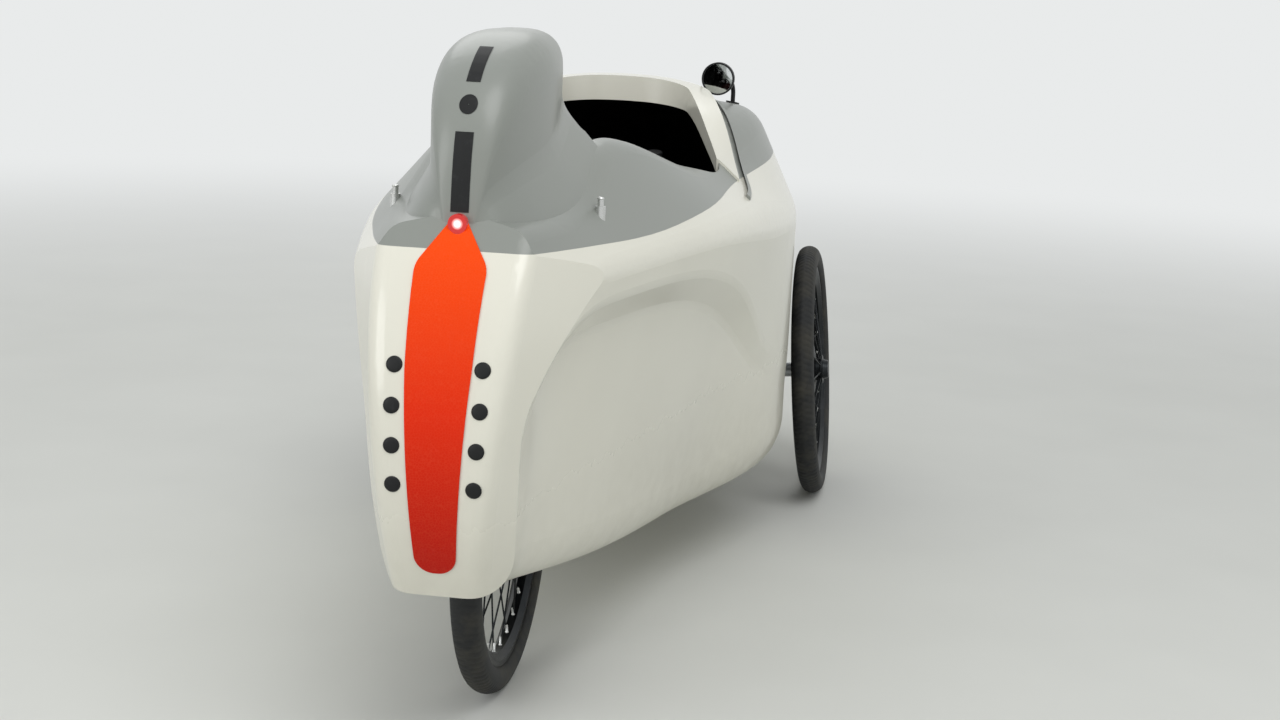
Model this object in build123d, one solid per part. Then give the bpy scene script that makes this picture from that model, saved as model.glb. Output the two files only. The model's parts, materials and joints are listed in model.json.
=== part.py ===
"""Three-wheeled recumbent velomobile with a two-piece composite shell.

Millimetres. +X is forward, +Y is to the left, +Z is up. The origin lies on the floor, under the
middle of the overall length and width. Two steered 20-inch wheels stand in front, one driven
20-inch wheel runs inside the tail, and the rider enters through one opening in the deck.
"""
from build123d import *
from math import asin, atan2, cos, degrees, hypot, pi, radians, sin, sqrt, tan
import os

os.makedirs("parts", exist_ok=True)

# Overall size, wheels and stance
LENGTH = 2380
NOSE_X = LENGTH / 2
STRIP_THICKNESS = 1.5
STERN_X = STRIP_THICKNESS - LENGTH / 2
TYRE_RADIUS = 245
TYRE_SECTION = 22
BEAD_DEPTH = 39
RIM_RADIUS = TYRE_RADIUS - BEAD_DEPTH
TRACK = 740
CAMBER = 5
RIM_PROFILE = [(0, -13), (0, 13), (-8, 13), (-18, 6), (-18, -6), (-8, -13)]
SPOKE_RADIUS = 1.3
SPOKE_COUNT = 28
SPOKE_SINK = 14
AXLE_RADIUS = 6
RUNNING_GAP = 0.4
BORE_RADIUS = AXLE_RADIUS + RUNNING_GAP
FRONT_AXLE_X = 420
REAR_OVERHANG = 403.5
REAR_AXLE_X = STERN_X + REAR_OVERHANG
WHEEL_Y = TRACK / 2 - (TYRE_RADIUS - TYRE_SECTION) * sin(radians(CAMBER))
WHEEL_Z = (TYRE_RADIUS - TYRE_SECTION) * cos(radians(CAMBER)) + TYRE_SECTION

# Half outlines of the hubs from the bore outwards: radius, distance along the axle
FRONT_HUB = [(BORE_RADIUS, -21), (47, -21), (47, 6), (22, 10), (22, 18), (28, 19), (28, 23),
             (20, 24), (17, 34), (0, 34), (0, 25), (BORE_RADIUS, 25)]
REAR_HUB = [(BORE_RADIUS, -36), (24, -36), (24, -24), (20, -22), (28, -20), (28, -16), (16, -14),
            (16, 14), (28, 16), (28, 20), (18, 22), (18, 28), (BORE_RADIUS, 28)]

# Shell
WALL = 4
STERN_ARC = 430
STERN_ARC_Z = 430
ARCH_GAP = 70
ARCH_RADIUS = TYRE_RADIUS + ARCH_GAP
ARCH_INNER_Y = 235
REAR_BOX_GAP = 20
REAR_BOX_RADIUS = TYRE_RADIUS + REAR_BOX_GAP
REAR_BOX_LEFT = 50
REAR_BOX_RIGHT = -62
SLOT_HALF_WIDTH = 36
SLOT_END_GAP = 18
LINKAGE_SLOT_Y = (160, 250)
ARM_SLOT = (-20, 70, 14)
ROD_SLOT = (-14, 24, 12)

# Body sections from the stern to the nose. Heights are above the floor, widths are half widths.
# station in thousandths of the length from the stern, belly width, belly z, belly radius,
# hollow depth, hollow top z, shoulder width, shoulder z, shoulder radius, deck edge width,
# deck edge z, deck edge radius, crown z
SECTIONS = [
    (-6, 72, 262, 55, 2, 480, 90, 630, 34, 60, 684, 34, 702),
    (23, 90, 246, 60, 5, 500, 112, 634, 36, 72, 694, 40, 712),
    (53, 104, 232, 66, 26, 565, 140, 638, 38, 90, 700, 45, 718),
    (117, 132, 205, 75, 32, 598, 184, 642, 40, 118, 712, 55, 730),
    (202, 172, 172, 85, 32, 594, 234, 642, 44, 120, 776, 54, 788),
    (296, 210, 146, 92, 32, 560, 282, 640, 50, 188, 730, 70, 754),
    (372, 238, 132, 96, 26, 490, 310, 632, 62, 212, 712, 76, 766),
    (440, 272, 126, 98, 8, 400, 324, 618, 76, 222, 738, 80, 786),
    (517, 318, 125, 98, 2, 340, 328, 602, 84, 238, 774, 76, 800),
    (628, 296, 125, 96, 2, 330, 306, 586, 90, 220, 756, 80, 792),
    (738, 232, 127, 92, 2, 320, 280, 556, 100, 190, 706, 82, 750),
    (840, 172, 152, 86, 2, 315, 244, 506, 100, 164, 630, 74, 674),
    (909, 124, 203, 74, 2, 325, 198, 462, 84, 130, 560, 60, 597),
    (955, 82, 256, 56, 2, 340, 147, 432, 62, 95, 500, 46, 527),
    (985, 52, 308, 36, 1.5, 360, 98, 412, 40, 62, 456, 34, 473),
    (1000, 22, 346, 16, 1, 376, 44, 402, 18, 30, 428, 14, 438),
]
HOLLOW_RISE = 46
HOLLOW_EASE = 8
CROWN_SHARE = 0.42

# Flat of the stern between its rounded upright edges: height above the floor, half width
STERN_EDGES = [(130, 40), (262, 56), (400, 70), (540, 84), (640, 92), (760, 92)]
STERN_EDGE_RADIUS = 28
STERN_EDGE_SLOPE = 25
STERN_REACH = STERN_X + 320
STERN_SPAN = (140, 750)

# Headrest hump sections: distance ahead of the stern, top z, half width, and how far the foot
# spreads towards the deck edge
HUMP = [
    (95.5, 690, 16, 0.30),
    (100.5, 722, 22, 0.42),
    (109.5, 790, 32, 0.55),
    (133.5, 846, 45, 0.72),
    (176.5, 888, 58, 0.86),
    (233.5, 914, 68, 0.94),
    (308.5, 928, 72, 1.0),
    (388.5, 929, 64, 1.0),
    (438.5, 923, 55, 1.0),
    (453.5, 914, 50, 1.0),
]
HUMP_FRONT_X = STERN_X + HUMP[-1][0]
HUMP_BASE_Z = 610
HUMP_KNEE_RISE = 64
HUMP_KNEE_RADIUS = 60
HUMP_FOOT_RADIUS = 20
HUMP_FOOT_DROP = 12
HUMP_LIP = 14

# Seam between hull and deck, as corners of a line seen from the side, with rounding radii
SEAM_OVERRUN = 125
SEAM = [(-LENGTH / 2 - SEAM_OVERRUN, 682), (-800, 662), (180, 702), (640, 640),
        (LENGTH / 2 + SEAM_OVERRUN, 336)]
SEAM_RADII = [2500, 1500, 900]

# Cockpit opening seen from above, left half from the front to the rear
OPENING = [(100, 112), (-300, 234), (-560, 132), (HUMP_FRONT_X - 7, 84)]
OPENING_RADII = [100, 170, 160, 10]
COAMING_WIDTH = 34
COAMING_HEIGHT = 28
COAMING_END_HEIGHT = 5
COAMING_END_X = -255
COAMING_LIP = 4
COAMING_DEPTH = 18
RIDGE_GAP = 14
RIDGE_WIDTH = 6
RIDGE_HEIGHT = 6
RIDGE_REAR_X = -300

# Stern fittings
STRIP_OUTLINE = [(0, 722), (45, 657), (41, 540), (25, 283)]
STRIP_RADII = [8, 28, 500, 24]
STRIP_SEAT = 0.3
LAMP_Z = 704
LAMP_RADIUS = 12
# Small round vents in the stern: height above the floor, distance from the middle
VENTS = [(398, 50), (446, 52), (494, 54), (542, 54)]
VENT_RADIUS = 9

# Steering
KINGPIN_Y = 262
KINGPIN_RADIUS = 10
UPRIGHT_RADIUS = 15
UPRIGHT_BOTTOM = 170
UPRIGHT_TOP = 350
STUB_RADIUS = 14
BRAKE_PLATE = (45, -27, -23)
STEER_ARM_BACK = 90
STEER_ARM_OUT = 15
STEER_ARM_BOTTOM = 173
STEER_ARM_TOP = 183
TIE_ROD_X = FRONT_AXLE_X - STEER_ARM_BACK
TIE_ROD_Z = 164
TIE_ROD_RADIUS = 4.2
ROD_EYE_RADIUS = 9
ROD_PIN_RADIUS = 4
LOWER_ARM_Z = 155
LOWER_ARM_RADIUS = 8
ARM_EYE_RADIUS = 12
ARM_PIVOT_Y = 100
ARM_FRONT_X = FRONT_AXLE_X + 140
BUSH_RADIUS = 11
BUSH_LENGTH = 22
LUG_THICKNESS = 5
LUG_OFFSET = BUSH_LENGTH / 2 + LUG_THICKNESS / 2
LUG_HALF_WIDTH = 10
STRUT_BOTTOM = 205
STRUT_TOP = 555
STRUT_CUP_BOTTOM = 525
STRUT_CUP_RADIUS = 21
BOOT_BOTTOM = 360
BOOT_FOLDS = 8
BOOT_PITCH = 20
BOOT_RADII = (13, 18)
TILLER_PIN_RADIUS = 8
TILLER_PIN_TOP = 194
SLEEVE_RADIUS = 13.5
SLEEVE_TOP = 200
TILLER_TOP = (60, 590)
TILLER_KNEE = (FRONT_AXLE_X - 18, 330)
TILLER_BEND = 90
TILLER_RADIUS = 11
STUB_BAR_RADIUS = 9
GRIP_Y = 70
GRIP_RADIUS = 15
GRIP_LENGTH = 105
BRAKE_LEVER = [(4, -6), (24, -2), (34, 70), (28, 86), (22, 84), (18, 20)]
BRAKE_LEVER_RADII = [3, 6, 10, 2.5, 2.5, 6]
BRAKE_LEVER_WIDTH = 10
SUBFRAME_TOP = 141
SUBFRAME_SIDE = 14
SUBFRAME_END = 26
POST_FOOT = (FRONT_AXLE_X + 80, FRONT_AXLE_X + 165)
POST_HALF_WIDTH = 18

# Drive
FOOT_ROOM = 455
CRANK_X = NOSE_X - FOOT_ROOM
CRANK_Z = 415
CRANK_LENGTH = 150
CRANK_ARM_Y = 64
CRANK_ARM_THICKNESS = 10
CRANK_END_RADIUS = 15
CRANK_EYE_RADIUS = 11
CRANK_SHELL_RADIUS = 21
CRANK_SHELL_Y = 34
SPINDLE_RADIUS = 8.5
CHAIN_Y = -48
CHAIN_WIDTH = 8
CHAIN_HALF_HEIGHT = 4
CHAINRING_PITCH_RADIUS = 98
SPROCKET_PITCH_RADIUS = 34
CHAINRING_TEETH = 48
TOOTH_GAP_RADIUS = 3.6
RING_THICKNESS = 3
RING_WINDOWS = 5
RING_WINDOW_PITCH = 58
RING_WINDOW_RADIUS = 19
MESH_GAP = 0.6
IDLER_A = (0, 195, 28)
IDLER_B = (100, 160, 20)
IDLER_PIN_RADIUS = 6
IDLER_STAND_HALF = 12
SPROCKET_BOSS_RADIUS = 16
SWING_ARM_LENGTH = 285
SWING_PIVOT_Z = 215
SWING_PIVOT_RADIUS = 11
PEDAL_INNER_Y = 75
PEDAL_OUTER_Y = 146
PEDAL_LENGTH = 84
PEDAL_HEIGHT = 20
PEDAL_WINDOW_X = 22
PEDAL_WINDOW_LENGTH = 20
PEDAL_PIN_RADIUS = 5.5

# Seat, seen from the side: front lip, hollow of the seat, back and shoulder
SEAT_TOP_X = REAR_AXLE_X + 145
SEAT_LINE = [(72, 290), (20, 296), (-170, 214), (-320, 262), (SEAT_TOP_X, 572),
             (SEAT_TOP_X - 60, 600)]
SEAT_RADII = [30, 120, 140, 60]
SEAT_THICKNESS = 5
PAD_THICKNESS = 24
SEAT_PLAN = [(84, 118), (-60, 172), (-300, 186), (SEAT_TOP_X + 20, 168),
             (SEAT_TOP_X - 76, 110)]
SEAT_CORNER_RADIUS = 50
PAD_MARGIN = 18
SEAT_RIB = (-262, -70, 104, 110)

# Mirrors
MIRROR_X = 112
MIRROR_Y = 170
MIRROR_Z = 824
MIRROR_RADIUS = 29
MIRROR_FOOT_X = 172
MIRROR_FOOT_Y = 192
MIRROR_FOOT_SIZE = (22, 12)
MIRROR_FOOT_HEIGHT = 3
MIRROR_STALK_RADIUS = 4
MIRROR_STALK_BEND = 28
MIRROR_DEPTH = 14
MIRROR_BEZEL = 3

# Studs on the deck that the loops of a rain hood are hooked over: x, distance from the middle
HOOD_STUDS = [(-886, 138), (560, 150)]
STUD_RADIUS = 4
STUD_LENGTH = 10
STUD_BOSS_RADIUS = 7
STUD_BOSS_HEIGHT = 3


def inset_corners(corners, distance, closed=True):
    """Move each side of a counter-clockwise polygon inwards and return the new corners."""
    count = len(corners)
    lines = []
    for i in range(count if closed else count - 1):
        (x0, y0), (x1, y1) = corners[i], corners[(i + 1) % count]
        length = hypot(x1 - x0, y1 - y0)
        normal = (-(y1 - y0) / length, (x1 - x0) / length)
        lines.append((x0 + normal[0] * distance, y0 + normal[1] * distance, x1 - x0, y1 - y0))
    moved = []
    for i in range(count):
        if not closed and i == 0:
            moved.append(lines[0][:2])
            continue
        if not closed and i == count - 1:
            ax, ay, adx, ady = lines[-1]
            moved.append((ax + adx, ay + ady))
            continue
        ax, ay, adx, ady = lines[i - 1]
        bx, by, bdx, bdy = lines[i]
        along = ((bx - ax) * bdy - (by - ay) * bdx) / (adx * bdy - ady * bdx)
        moved.append((ax + adx * along, ay + ady * along))
    return moved


def soft_face(corners, lengths):
    """Flat face whose corners are rounded by curves that start at the given lengths from them."""
    points = [Vector(*corner) for corner in corners]
    rounding = []
    for i, point in enumerate(points):
        back = (points[i - 1] - point).normalized()
        ahead = (points[(i + 1) % len(points)] - point).normalized()
        rounding.append((point + back * lengths[i], point, point + ahead * lengths[i]))
    edges = []
    for i, curve in enumerate(rounding):
        edges.append(Line(rounding[i - 1][2], curve[0]))
        if lengths[i]:
            edges.append(Bezier(*curve))
    return make_face(Wire(edges))


def rounded_section(half, radii, x, distance):
    """A symmetric face across the body at x. The last corner of the half lies on the middle."""
    corners = half + [(-y, z) for y, z in reversed(half[:-1])]
    all_radii = radii + list(reversed(radii[:-1]))
    moved = inset_corners(corners, distance)
    count = len(moved)
    turns = []
    for i in range(count):
        ax, ay = moved[i][0] - moved[i - 1][0], moved[i][1] - moved[i - 1][1]
        bx, by = moved[(i + 1) % count][0] - moved[i][0], moved[(i + 1) % count][1] - moved[i][1]
        turns.append(atan2(ax * by - ay * bx, ax * bx + ay * by))
    grown = [r - distance if turn > 0 else r + distance for r, turn in zip(all_radii, turns)]
    reach = [max(r, 0.6) * tan(abs(turn) / 2) for r, turn in zip(grown, turns)]
    across = Plane(origin=(x, 0, 0), x_dir=(0, 1, 0), z_dir=(1, 0, 0))
    lengths = []
    for i in range(count):
        room = [min(1, 0.96 * hypot(moved[j][0] - moved[j - 1][0], moved[j][1] - moved[j - 1][1])
                    / (reach[j] + reach[j - 1])) for j in (i, (i + 1) % count)]
        lengths.append(reach[i] * min(room))
    return across * soft_face(moved, lengths)


def station_x(station):
    """The distance from the middle of a station given in thousandths of the length."""
    return (station / 1000 - 0.5) * LENGTH


def body_section(row, distance):
    """One rounded cross section of the body, moved inwards by the given distance."""
    (station, belly_w, belly_z, belly_r, hollow, hollow_z, shoulder_w, shoulder_z, shoulder_r,
     edge_w, edge_z, edge_r, crown_z) = row
    lean = (shoulder_w - belly_w) / (shoulder_z - belly_z)
    step_z = hollow_z - HOLLOW_RISE * min(1, (hollow_z - belly_z) / 150)
    half = [
        (belly_w - hollow, belly_z),
        (belly_w + lean * (step_z - belly_z) - hollow, step_z),
        (belly_w + lean * (hollow_z - belly_z), hollow_z),
        (shoulder_w, shoulder_z),
        (edge_w, edge_z),
        (0, crown_z),
    ]
    slope = hypot(edge_w, crown_z - edge_z)
    crown_r = CROWN_SHARE * slope * slope / (crown_z - edge_z)
    step_r = HOLLOW_EASE / tan(atan2(hollow, hollow_z - step_z) / 2)
    radii = [belly_r, step_r, step_r, shoulder_r, edge_r, crown_r]
    return rounded_section(half, radii, station_x(station), distance)


def side_cylinder(radius, x, z, y_from, y_to):
    """A cylinder across the vehicle, between two distances from its middle plane."""
    length = y_to - y_from
    middle = (y_from + y_to) / 2
    return Location((x, middle, z), (90, 0, 0)) * Cylinder(radius, length)


def block(x_from, x_to, y_from, y_to, z_from, z_to):
    """A box given by its six faces."""
    centre = ((x_from + x_to) / 2, (y_from + y_to) / 2, (z_from + z_to) / 2)
    return Pos(*centre) * Box(x_to - x_from, y_to - y_from, z_to - z_from)


def rod(start, end, radius):
    """A round bar between two points."""
    axis = Vector(*end) - Vector(*start)
    plane = Plane(origin=start, z_dir=axis)
    return extrude(plane * Circle(radius), axis.length)


def bar_outline(*circles):
    """Flat outline round circles given as (x, y, radius)."""
    edges = []
    for x, y, radius in circles:
        edges.extend((Pos(x, y) * Circle(radius)).edges())
    return make_hull(edges)


def both_sides(shape):
    """The shape and its mirror image on the other side of the middle plane."""
    return shape + shape.mirror(Plane.XZ)


def stern_x(z):
    """Where the stern lies at a height, on the arc that it follows seen from the side."""
    return STERN_X + STERN_ARC - sqrt(STERN_ARC ** 2 - (z - STERN_ARC_Z) ** 2)


def stern_block(distance):
    """The room in front of the curved stern and between its rounded upright edges."""
    slope = tan(radians(STERN_EDGE_SLOPE))
    length = STERN_EDGE_RADIUS * tan(radians(90 - STERN_EDGE_SLOPE) / 2)
    faces = []
    for z, half in STERN_EDGES:
        rake = hypot(1, (z - STERN_ARC_Z) / STERN_ARC)
        x = stern_x(z) + distance * rake
        wide = half - distance * tan(radians(90 - STERN_EDGE_SLOPE) / 2)
        front = (STERN_REACH, wide + slope * (STERN_REACH - x))
        corners = [(front[0], -front[1]), front, (x, wide), (x, -wide)]
        faces.append(Pos(0, 0, z) * soft_face(corners, [0, 0, length, length]))
    return loft(faces)


def stern_trim(distance):
    """What is cut away behind the stern and outside its rounded edges."""
    return block(STERN_X - 100, STERN_REACH - 10, -400, 400, *STERN_SPAN) - stern_block(distance)


def body(distance):
    """The body without its hump, moved inwards by the given distance."""
    whole = loft([body_section(row, distance) for row in SECTIONS]) - stern_trim(distance)
    if distance:
        whole -= block(NOSE_X - distance, NOSE_X + 50, -200, 200, 200, 600)
    return whole


def deck_edge(x):
    """Half width and height of the deck edge, and crown height, at x between the sections."""
    for before, after in zip(SECTIONS, SECTIONS[1:]):
        x_before, x_after = station_x(before[0]), station_x(after[0])
        if x_before <= x <= x_after:
            share = (x - x_before) / (x_after - x_before)
            return [before[k] + share * (after[k] - before[k]) for k in (9, 10, 12)]
    raise ValueError("x lies outside the body")


def hump_section(row, distance, shift=0):
    """One section of the hump, moved inwards by the distance and forward by the shift."""
    ahead, top, width, spread = row
    x = STERN_X + ahead
    edge_w, edge_z, _ = deck_edge(x)
    foot_w = width + (edge_w - width) * spread
    knee_z = min(edge_z + HUMP_KNEE_RISE * spread, top - width * 0.8)
    half = [(foot_w, HUMP_BASE_Z), (foot_w, edge_z - HUMP_FOOT_DROP), (width, knee_z), (width, top),
            (0, top + 0.02 * width)]
    radii = [1, HUMP_FOOT_RADIUS, HUMP_KNEE_RADIUS * spread, width * 0.86, width * 2]
    return rounded_section(half, radii, x + shift, distance)


def hump(distance):
    """The headrest hump, with concave feet that run out on the deck."""
    faces = []
    for number, row in enumerate(HUMP):
        shift = distance * (1 - 2 * number / (len(HUMP) - 1))
        faces.append(hump_section(row, distance, shift))
    return loft(faces)


def above_seam():
    """Everything above the seam between hull and deck."""
    seam = FilletPolyline(*SEAM, radius=SEAM_RADII)
    top = Polyline(SEAM[-1], (SEAM[-1][0], 1200), (SEAM[0][0], 1200), SEAM[0])
    return extrude(Plane.XZ * make_face(seam + top), 500, both=True)


def opening_prism(grow):
    """The cockpit opening, or the outline round it at a distance, as an upright prism."""
    half = list(OPENING)
    corners = half + [(x, -y) for x, y in reversed(half)]
    radii = OPENING_RADII + OPENING_RADII[::-1]
    outline = make_face(FilletPolyline(*corners, radius=radii, close=True))
    if grow:
        outline = offset(outline, grow)
    return extrude(Pos(0, 0, 500) * outline, 700)


def front_arches(radius, inner_y):
    """The two round hollows in which the front wheels run."""
    return both_sides(side_cylinder(radius, FRONT_AXLE_X, TYRE_RADIUS, inner_y, 460))


def make_linkage_slots():
    """Openings in the sides of the front hull for the lower arms and the tie rods."""
    slots = []
    for x, z, (back, front, rise) in ((FRONT_AXLE_X, LOWER_ARM_Z, ARM_SLOT),
                                      (TIE_ROD_X, TIE_ROD_Z, ROD_SLOT)):
        slots.append(both_sides(block(x + back, x + front, *LINKAGE_SLOT_Y, z - rise, z + rise)))
    return slots[0] + slots[1]


def rear_slot():
    """The slot in the belly through which the rear wheel reaches the road."""
    reach = TYRE_RADIUS + SLOT_END_GAP
    return block(REAR_AXLE_X - reach, REAR_AXLE_X + reach,
                 -SLOT_HALF_WIDTH, SLOT_HALF_WIDTH, 0, TYRE_RADIUS)


def wheel_hub(profile):
    """A solid of revolution about the wheel axis from (radius, distance along the axis)."""
    return revolve(make_face(Polyline(*profile, close=True)), Axis.Y)


def spokes(inner_flange, outer_flange):
    """Straight spokes from two hub flanges, given as (radius, along), to the rim."""
    pieces = []
    for number in range(SPOKE_COUNT):
        radius, along = inner_flange if number % 2 else outer_flange
        spoke = rod((radius - 3, along, 0), (RIM_RADIUS - SPOKE_SINK, 0, 0), SPOKE_RADIUS)
        pieces.append(spoke.rotate(Axis.Y, 360 * number / SPOKE_COUNT))
    return pieces


def rim():
    """Box-section rim."""
    return wheel_hub([(RIM_RADIUS + depth, along) for depth, along in RIM_PROFILE])


def tyre():
    """Round tyre on the rim."""
    middle = TYRE_RADIUS - TYRE_SECTION
    section = Pos(middle, 0) * Circle(TYRE_SECTION)
    keep = Pos(RIM_RADIUS + 50, 0) * Rectangle(100, 100)
    return revolve(section & keep, Axis.Y)


def place_front(shape):
    """Put a wheel made about the Y axis at the left front wheel's place, with its camber."""
    return Location((FRONT_AXLE_X, WHEEL_Y, WHEEL_Z), (CAMBER, 0, 0)) * shape


def tangent_run(start, end):
    """Tangent points of a chain run between two wheels (x, z, signed radius)."""
    dx, dz = end[0] - start[0], end[1] - start[1]
    length = hypot(dx, dz)
    ux, uz = dx / length, dz / length
    lean = asin((start[2] - end[2]) / length)
    nx = cos(lean) * uz + sin(lean) * ux
    nz = -cos(lean) * ux + sin(lean) * uz
    return [(c[0] + c[2] * nx, c[1] + c[2] * nz) for c in (start, end)]


def chain_outline(wheels, grow):
    """The closed line of a chain round several wheels, moved outwards by a distance."""
    signed = [(x, z, radius + grow) for x, z, radius in wheels]
    count = len(signed)
    runs = [tangent_run(signed[i], signed[(i + 1) % count]) for i in range(count)]
    edges = []
    for i in range(count):
        edges.append(Line(runs[i][0], runs[i][1]))
        x, z, radius = signed[(i + 1) % count]
        arrive, leave = runs[i][1], runs[(i + 1) % count][0]
        start = atan2(arrive[1] - z, arrive[0] - x)
        end = atan2(leave[1] - z, leave[0] - x)
        turn = (end - start) % (2 * pi)
        if radius < 0:
            turn -= 2 * pi
        middle = start + turn / 2
        size = abs(radius)
        edges.append(ThreePointArc(arrive, (x + size * cos(middle), z + size * sin(middle)), leave))
    return make_face(Wire(edges))


# Shell solids that several pieces share
outer_body = body(0)
outer_hump = hump(0)
outer = outer_body + outer_hump
inner = body(WALL) + hump(WALL)
shell = outer - inner
deck_core = outer_body & block(HUMP_FRONT_X - 10, 330, -300, 300, 600, 900)
upper_region = above_seam()
arches = front_arches(ARCH_RADIUS, ARCH_INNER_Y)
linkage_slots = make_linkage_slots()

nodes = {}


def make_shell_pieces():
    """Hull, deck, coaming and stern fittings."""
    vents = [Pos(STERN_X, y, z) * Rot(0, 90, 0) * Cylinder(VENT_RADIUS, 140) for z, y in VENTS]
    lamp_x = stern_x(LAMP_Z)
    lamp_bore = Pos(lamp_x + 4, 0, LAMP_Z) * Rot(0, 90, 0) * Cylinder(LAMP_RADIUS, 70)
    hull = shell - upper_region - arches - rear_slot() - lamp_bore - linkage_slots
    for vent in vents:
        hull = hull - both_sides(vent)
    opening = opening_prism(0)
    hump_mouth = Pos(-40, 0, 0) * extrude(hump_section(HUMP[-1], HUMP_LIP), 80)
    deck = (shell & upper_region) - opening - hump_mouth - lamp_bore
    around = opening_prism(COAMING_WIDTH) - opening
    ahead = block(COAMING_END_X, 400, -500, 500, 400, 1200)
    front_x = OPENING[0][0] + COAMING_WIDTH
    slope = atan2(COAMING_HEIGHT - COAMING_END_HEIGHT, front_x - COAMING_END_X)
    pivot_z = deck_edge(COAMING_END_X)[1]
    raised = Pos(COAMING_END_X, 0, pivot_z + COAMING_END_HEIGHT) * Rot(0, -degrees(slope), 0) \
        * Pos(-COAMING_END_X, 0, -pivot_z) * deck_core
    coaming = (raised & around) - deck_core
    lip = (raised & (opening - opening_prism(-COAMING_LIP))) - Pos(0, 0, -COAMING_DEPTH) * deck_core
    coaming = (coaming + lip) & ahead
    ridge_gap = COAMING_WIDTH + RIDGE_GAP
    ridge_path = opening_prism(ridge_gap + RIDGE_WIDTH) - opening_prism(ridge_gap)
    ridge_path = ridge_path & block(RIDGE_REAR_X, 400, -500, 500, 400, 1200)
    ridge = ((Pos(0, 0, RIDGE_HEIGHT) * deck_core) & ridge_path) - deck_core
    nodes["hull"] = hull
    nodes["deck"] = deck + ridge
    nodes["cockpit_rim"] = coaming - outer_hump
    skin = stern_block(-STRIP_THICKNESS) - stern_block(-STRIP_SEAT)
    half = list(STRIP_OUTLINE)
    corners = half + [(-y, z) for y, z in reversed(half[1:])]
    radii = STRIP_RADII + STRIP_RADII[:0:-1]
    lens = make_face(FilletPolyline(*corners, radius=radii, close=True))
    across = Plane(origin=(STERN_X - 60, 0, 0), x_dir=(0, 1, 0), z_dir=(1, 0, 0))
    nodes["tail_strip"] = (skin & extrude(across * lens, 200)) - lamp_bore - outer_hump
    lamp = Pos(lamp_x - 1, 0, LAMP_Z) * Rot(0, 90, 0) * Cylinder(LAMP_RADIUS, 16)
    nodes["tail_lamp"] = lamp


def make_wheel_boxes():
    """The closed boxes inside the shell round each wheel, with openings for what passes."""
    casing = front_arches(ARCH_RADIUS + WALL, ARCH_INNER_Y - WALL) - arches
    casing = (casing - linkage_slots) & inner
    nodes["wheel_box_left"] = casing & block(-900, 1200, 0, 600, -100, 1200)
    nodes["wheel_box_right"] = casing & block(-900, 1200, -600, 0, -100, 1200)
    box = side_cylinder(REAR_BOX_RADIUS + WALL, REAR_AXLE_X, TYRE_RADIUS,
                        REAR_BOX_RIGHT - WALL, REAR_BOX_LEFT + WALL)
    room = side_cylinder(REAR_BOX_RADIUS, REAR_AXLE_X, TYRE_RADIUS,
                         REAR_BOX_RIGHT, REAR_BOX_LEFT)
    front_window = block(REAR_AXLE_X + 200, REAR_AXLE_X + 300,
                         REAR_BOX_RIGHT, REAR_BOX_LEFT, 100, 262)
    nodes["wheel_box_rear"] = (box - room - front_window) & inner


def make_strut():
    """Suspension strut with its folded boot, cut off under the arch."""
    arch = side_cylinder(ARCH_RADIUS, FRONT_AXLE_X, TYRE_RADIUS, ARCH_INNER_Y - 35, KINGPIN_Y + 58)
    tube = Pos(0, 0, (STRUT_BOTTOM + STRUT_TOP) / 2) * Cylinder(
        KINGPIN_RADIUS, STRUT_TOP - STRUT_BOTTOM)
    boot = [(0, BOOT_BOTTOM), (BOOT_RADII[1] - 1, BOOT_BOTTOM)]
    for fold in range(BOOT_FOLDS):
        foot = BOOT_BOTTOM + BOOT_PITCH * (fold + 0.5)
        boot.append((BOOT_RADII[0], foot))
        boot.append((BOOT_RADII[1], foot + BOOT_PITCH / 2))
    boot.append((0, BOOT_BOTTOM + BOOT_PITCH * BOOT_FOLDS))
    bellows = revolve(Plane.XZ * make_face(Polyline(*boot, close=True)), Axis.Z)
    cup = Pos(0, 0, STRUT_CUP_BOTTOM + 30) * Cylinder(STRUT_CUP_RADIUS, 60)
    return (Pos(FRONT_AXLE_X, KINGPIN_Y, 0) * (tube + bellows + cup)) & arch


def make_lower_arm():
    """Triangular arm from two bushes on the floor frame to the eye under the kingpin."""
    x, y, z = FRONT_AXLE_X, KINGPIN_Y, LOWER_ARM_Z
    arm = Pos(x, y, z) * Cylinder(ARM_EYE_RADIUS, 2 * LOWER_ARM_RADIUS)
    arm += rod((x, y - 6, z), (x, ARM_PIVOT_Y, z), LOWER_ARM_RADIUS)
    arm += rod((x + 4, y - 6, z), (ARM_FRONT_X, ARM_PIVOT_Y, z), LOWER_ARM_RADIUS)
    for pivot_x in (x, ARM_FRONT_X):
        arm += Pos(pivot_x, ARM_PIVOT_Y, z) * Rot(0, 90, 0) * Cylinder(BUSH_RADIUS, BUSH_LENGTH)
    return arm - Pos(x, y, z) * Cylinder(ROD_PIN_RADIUS + RUNNING_GAP, 40)


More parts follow.
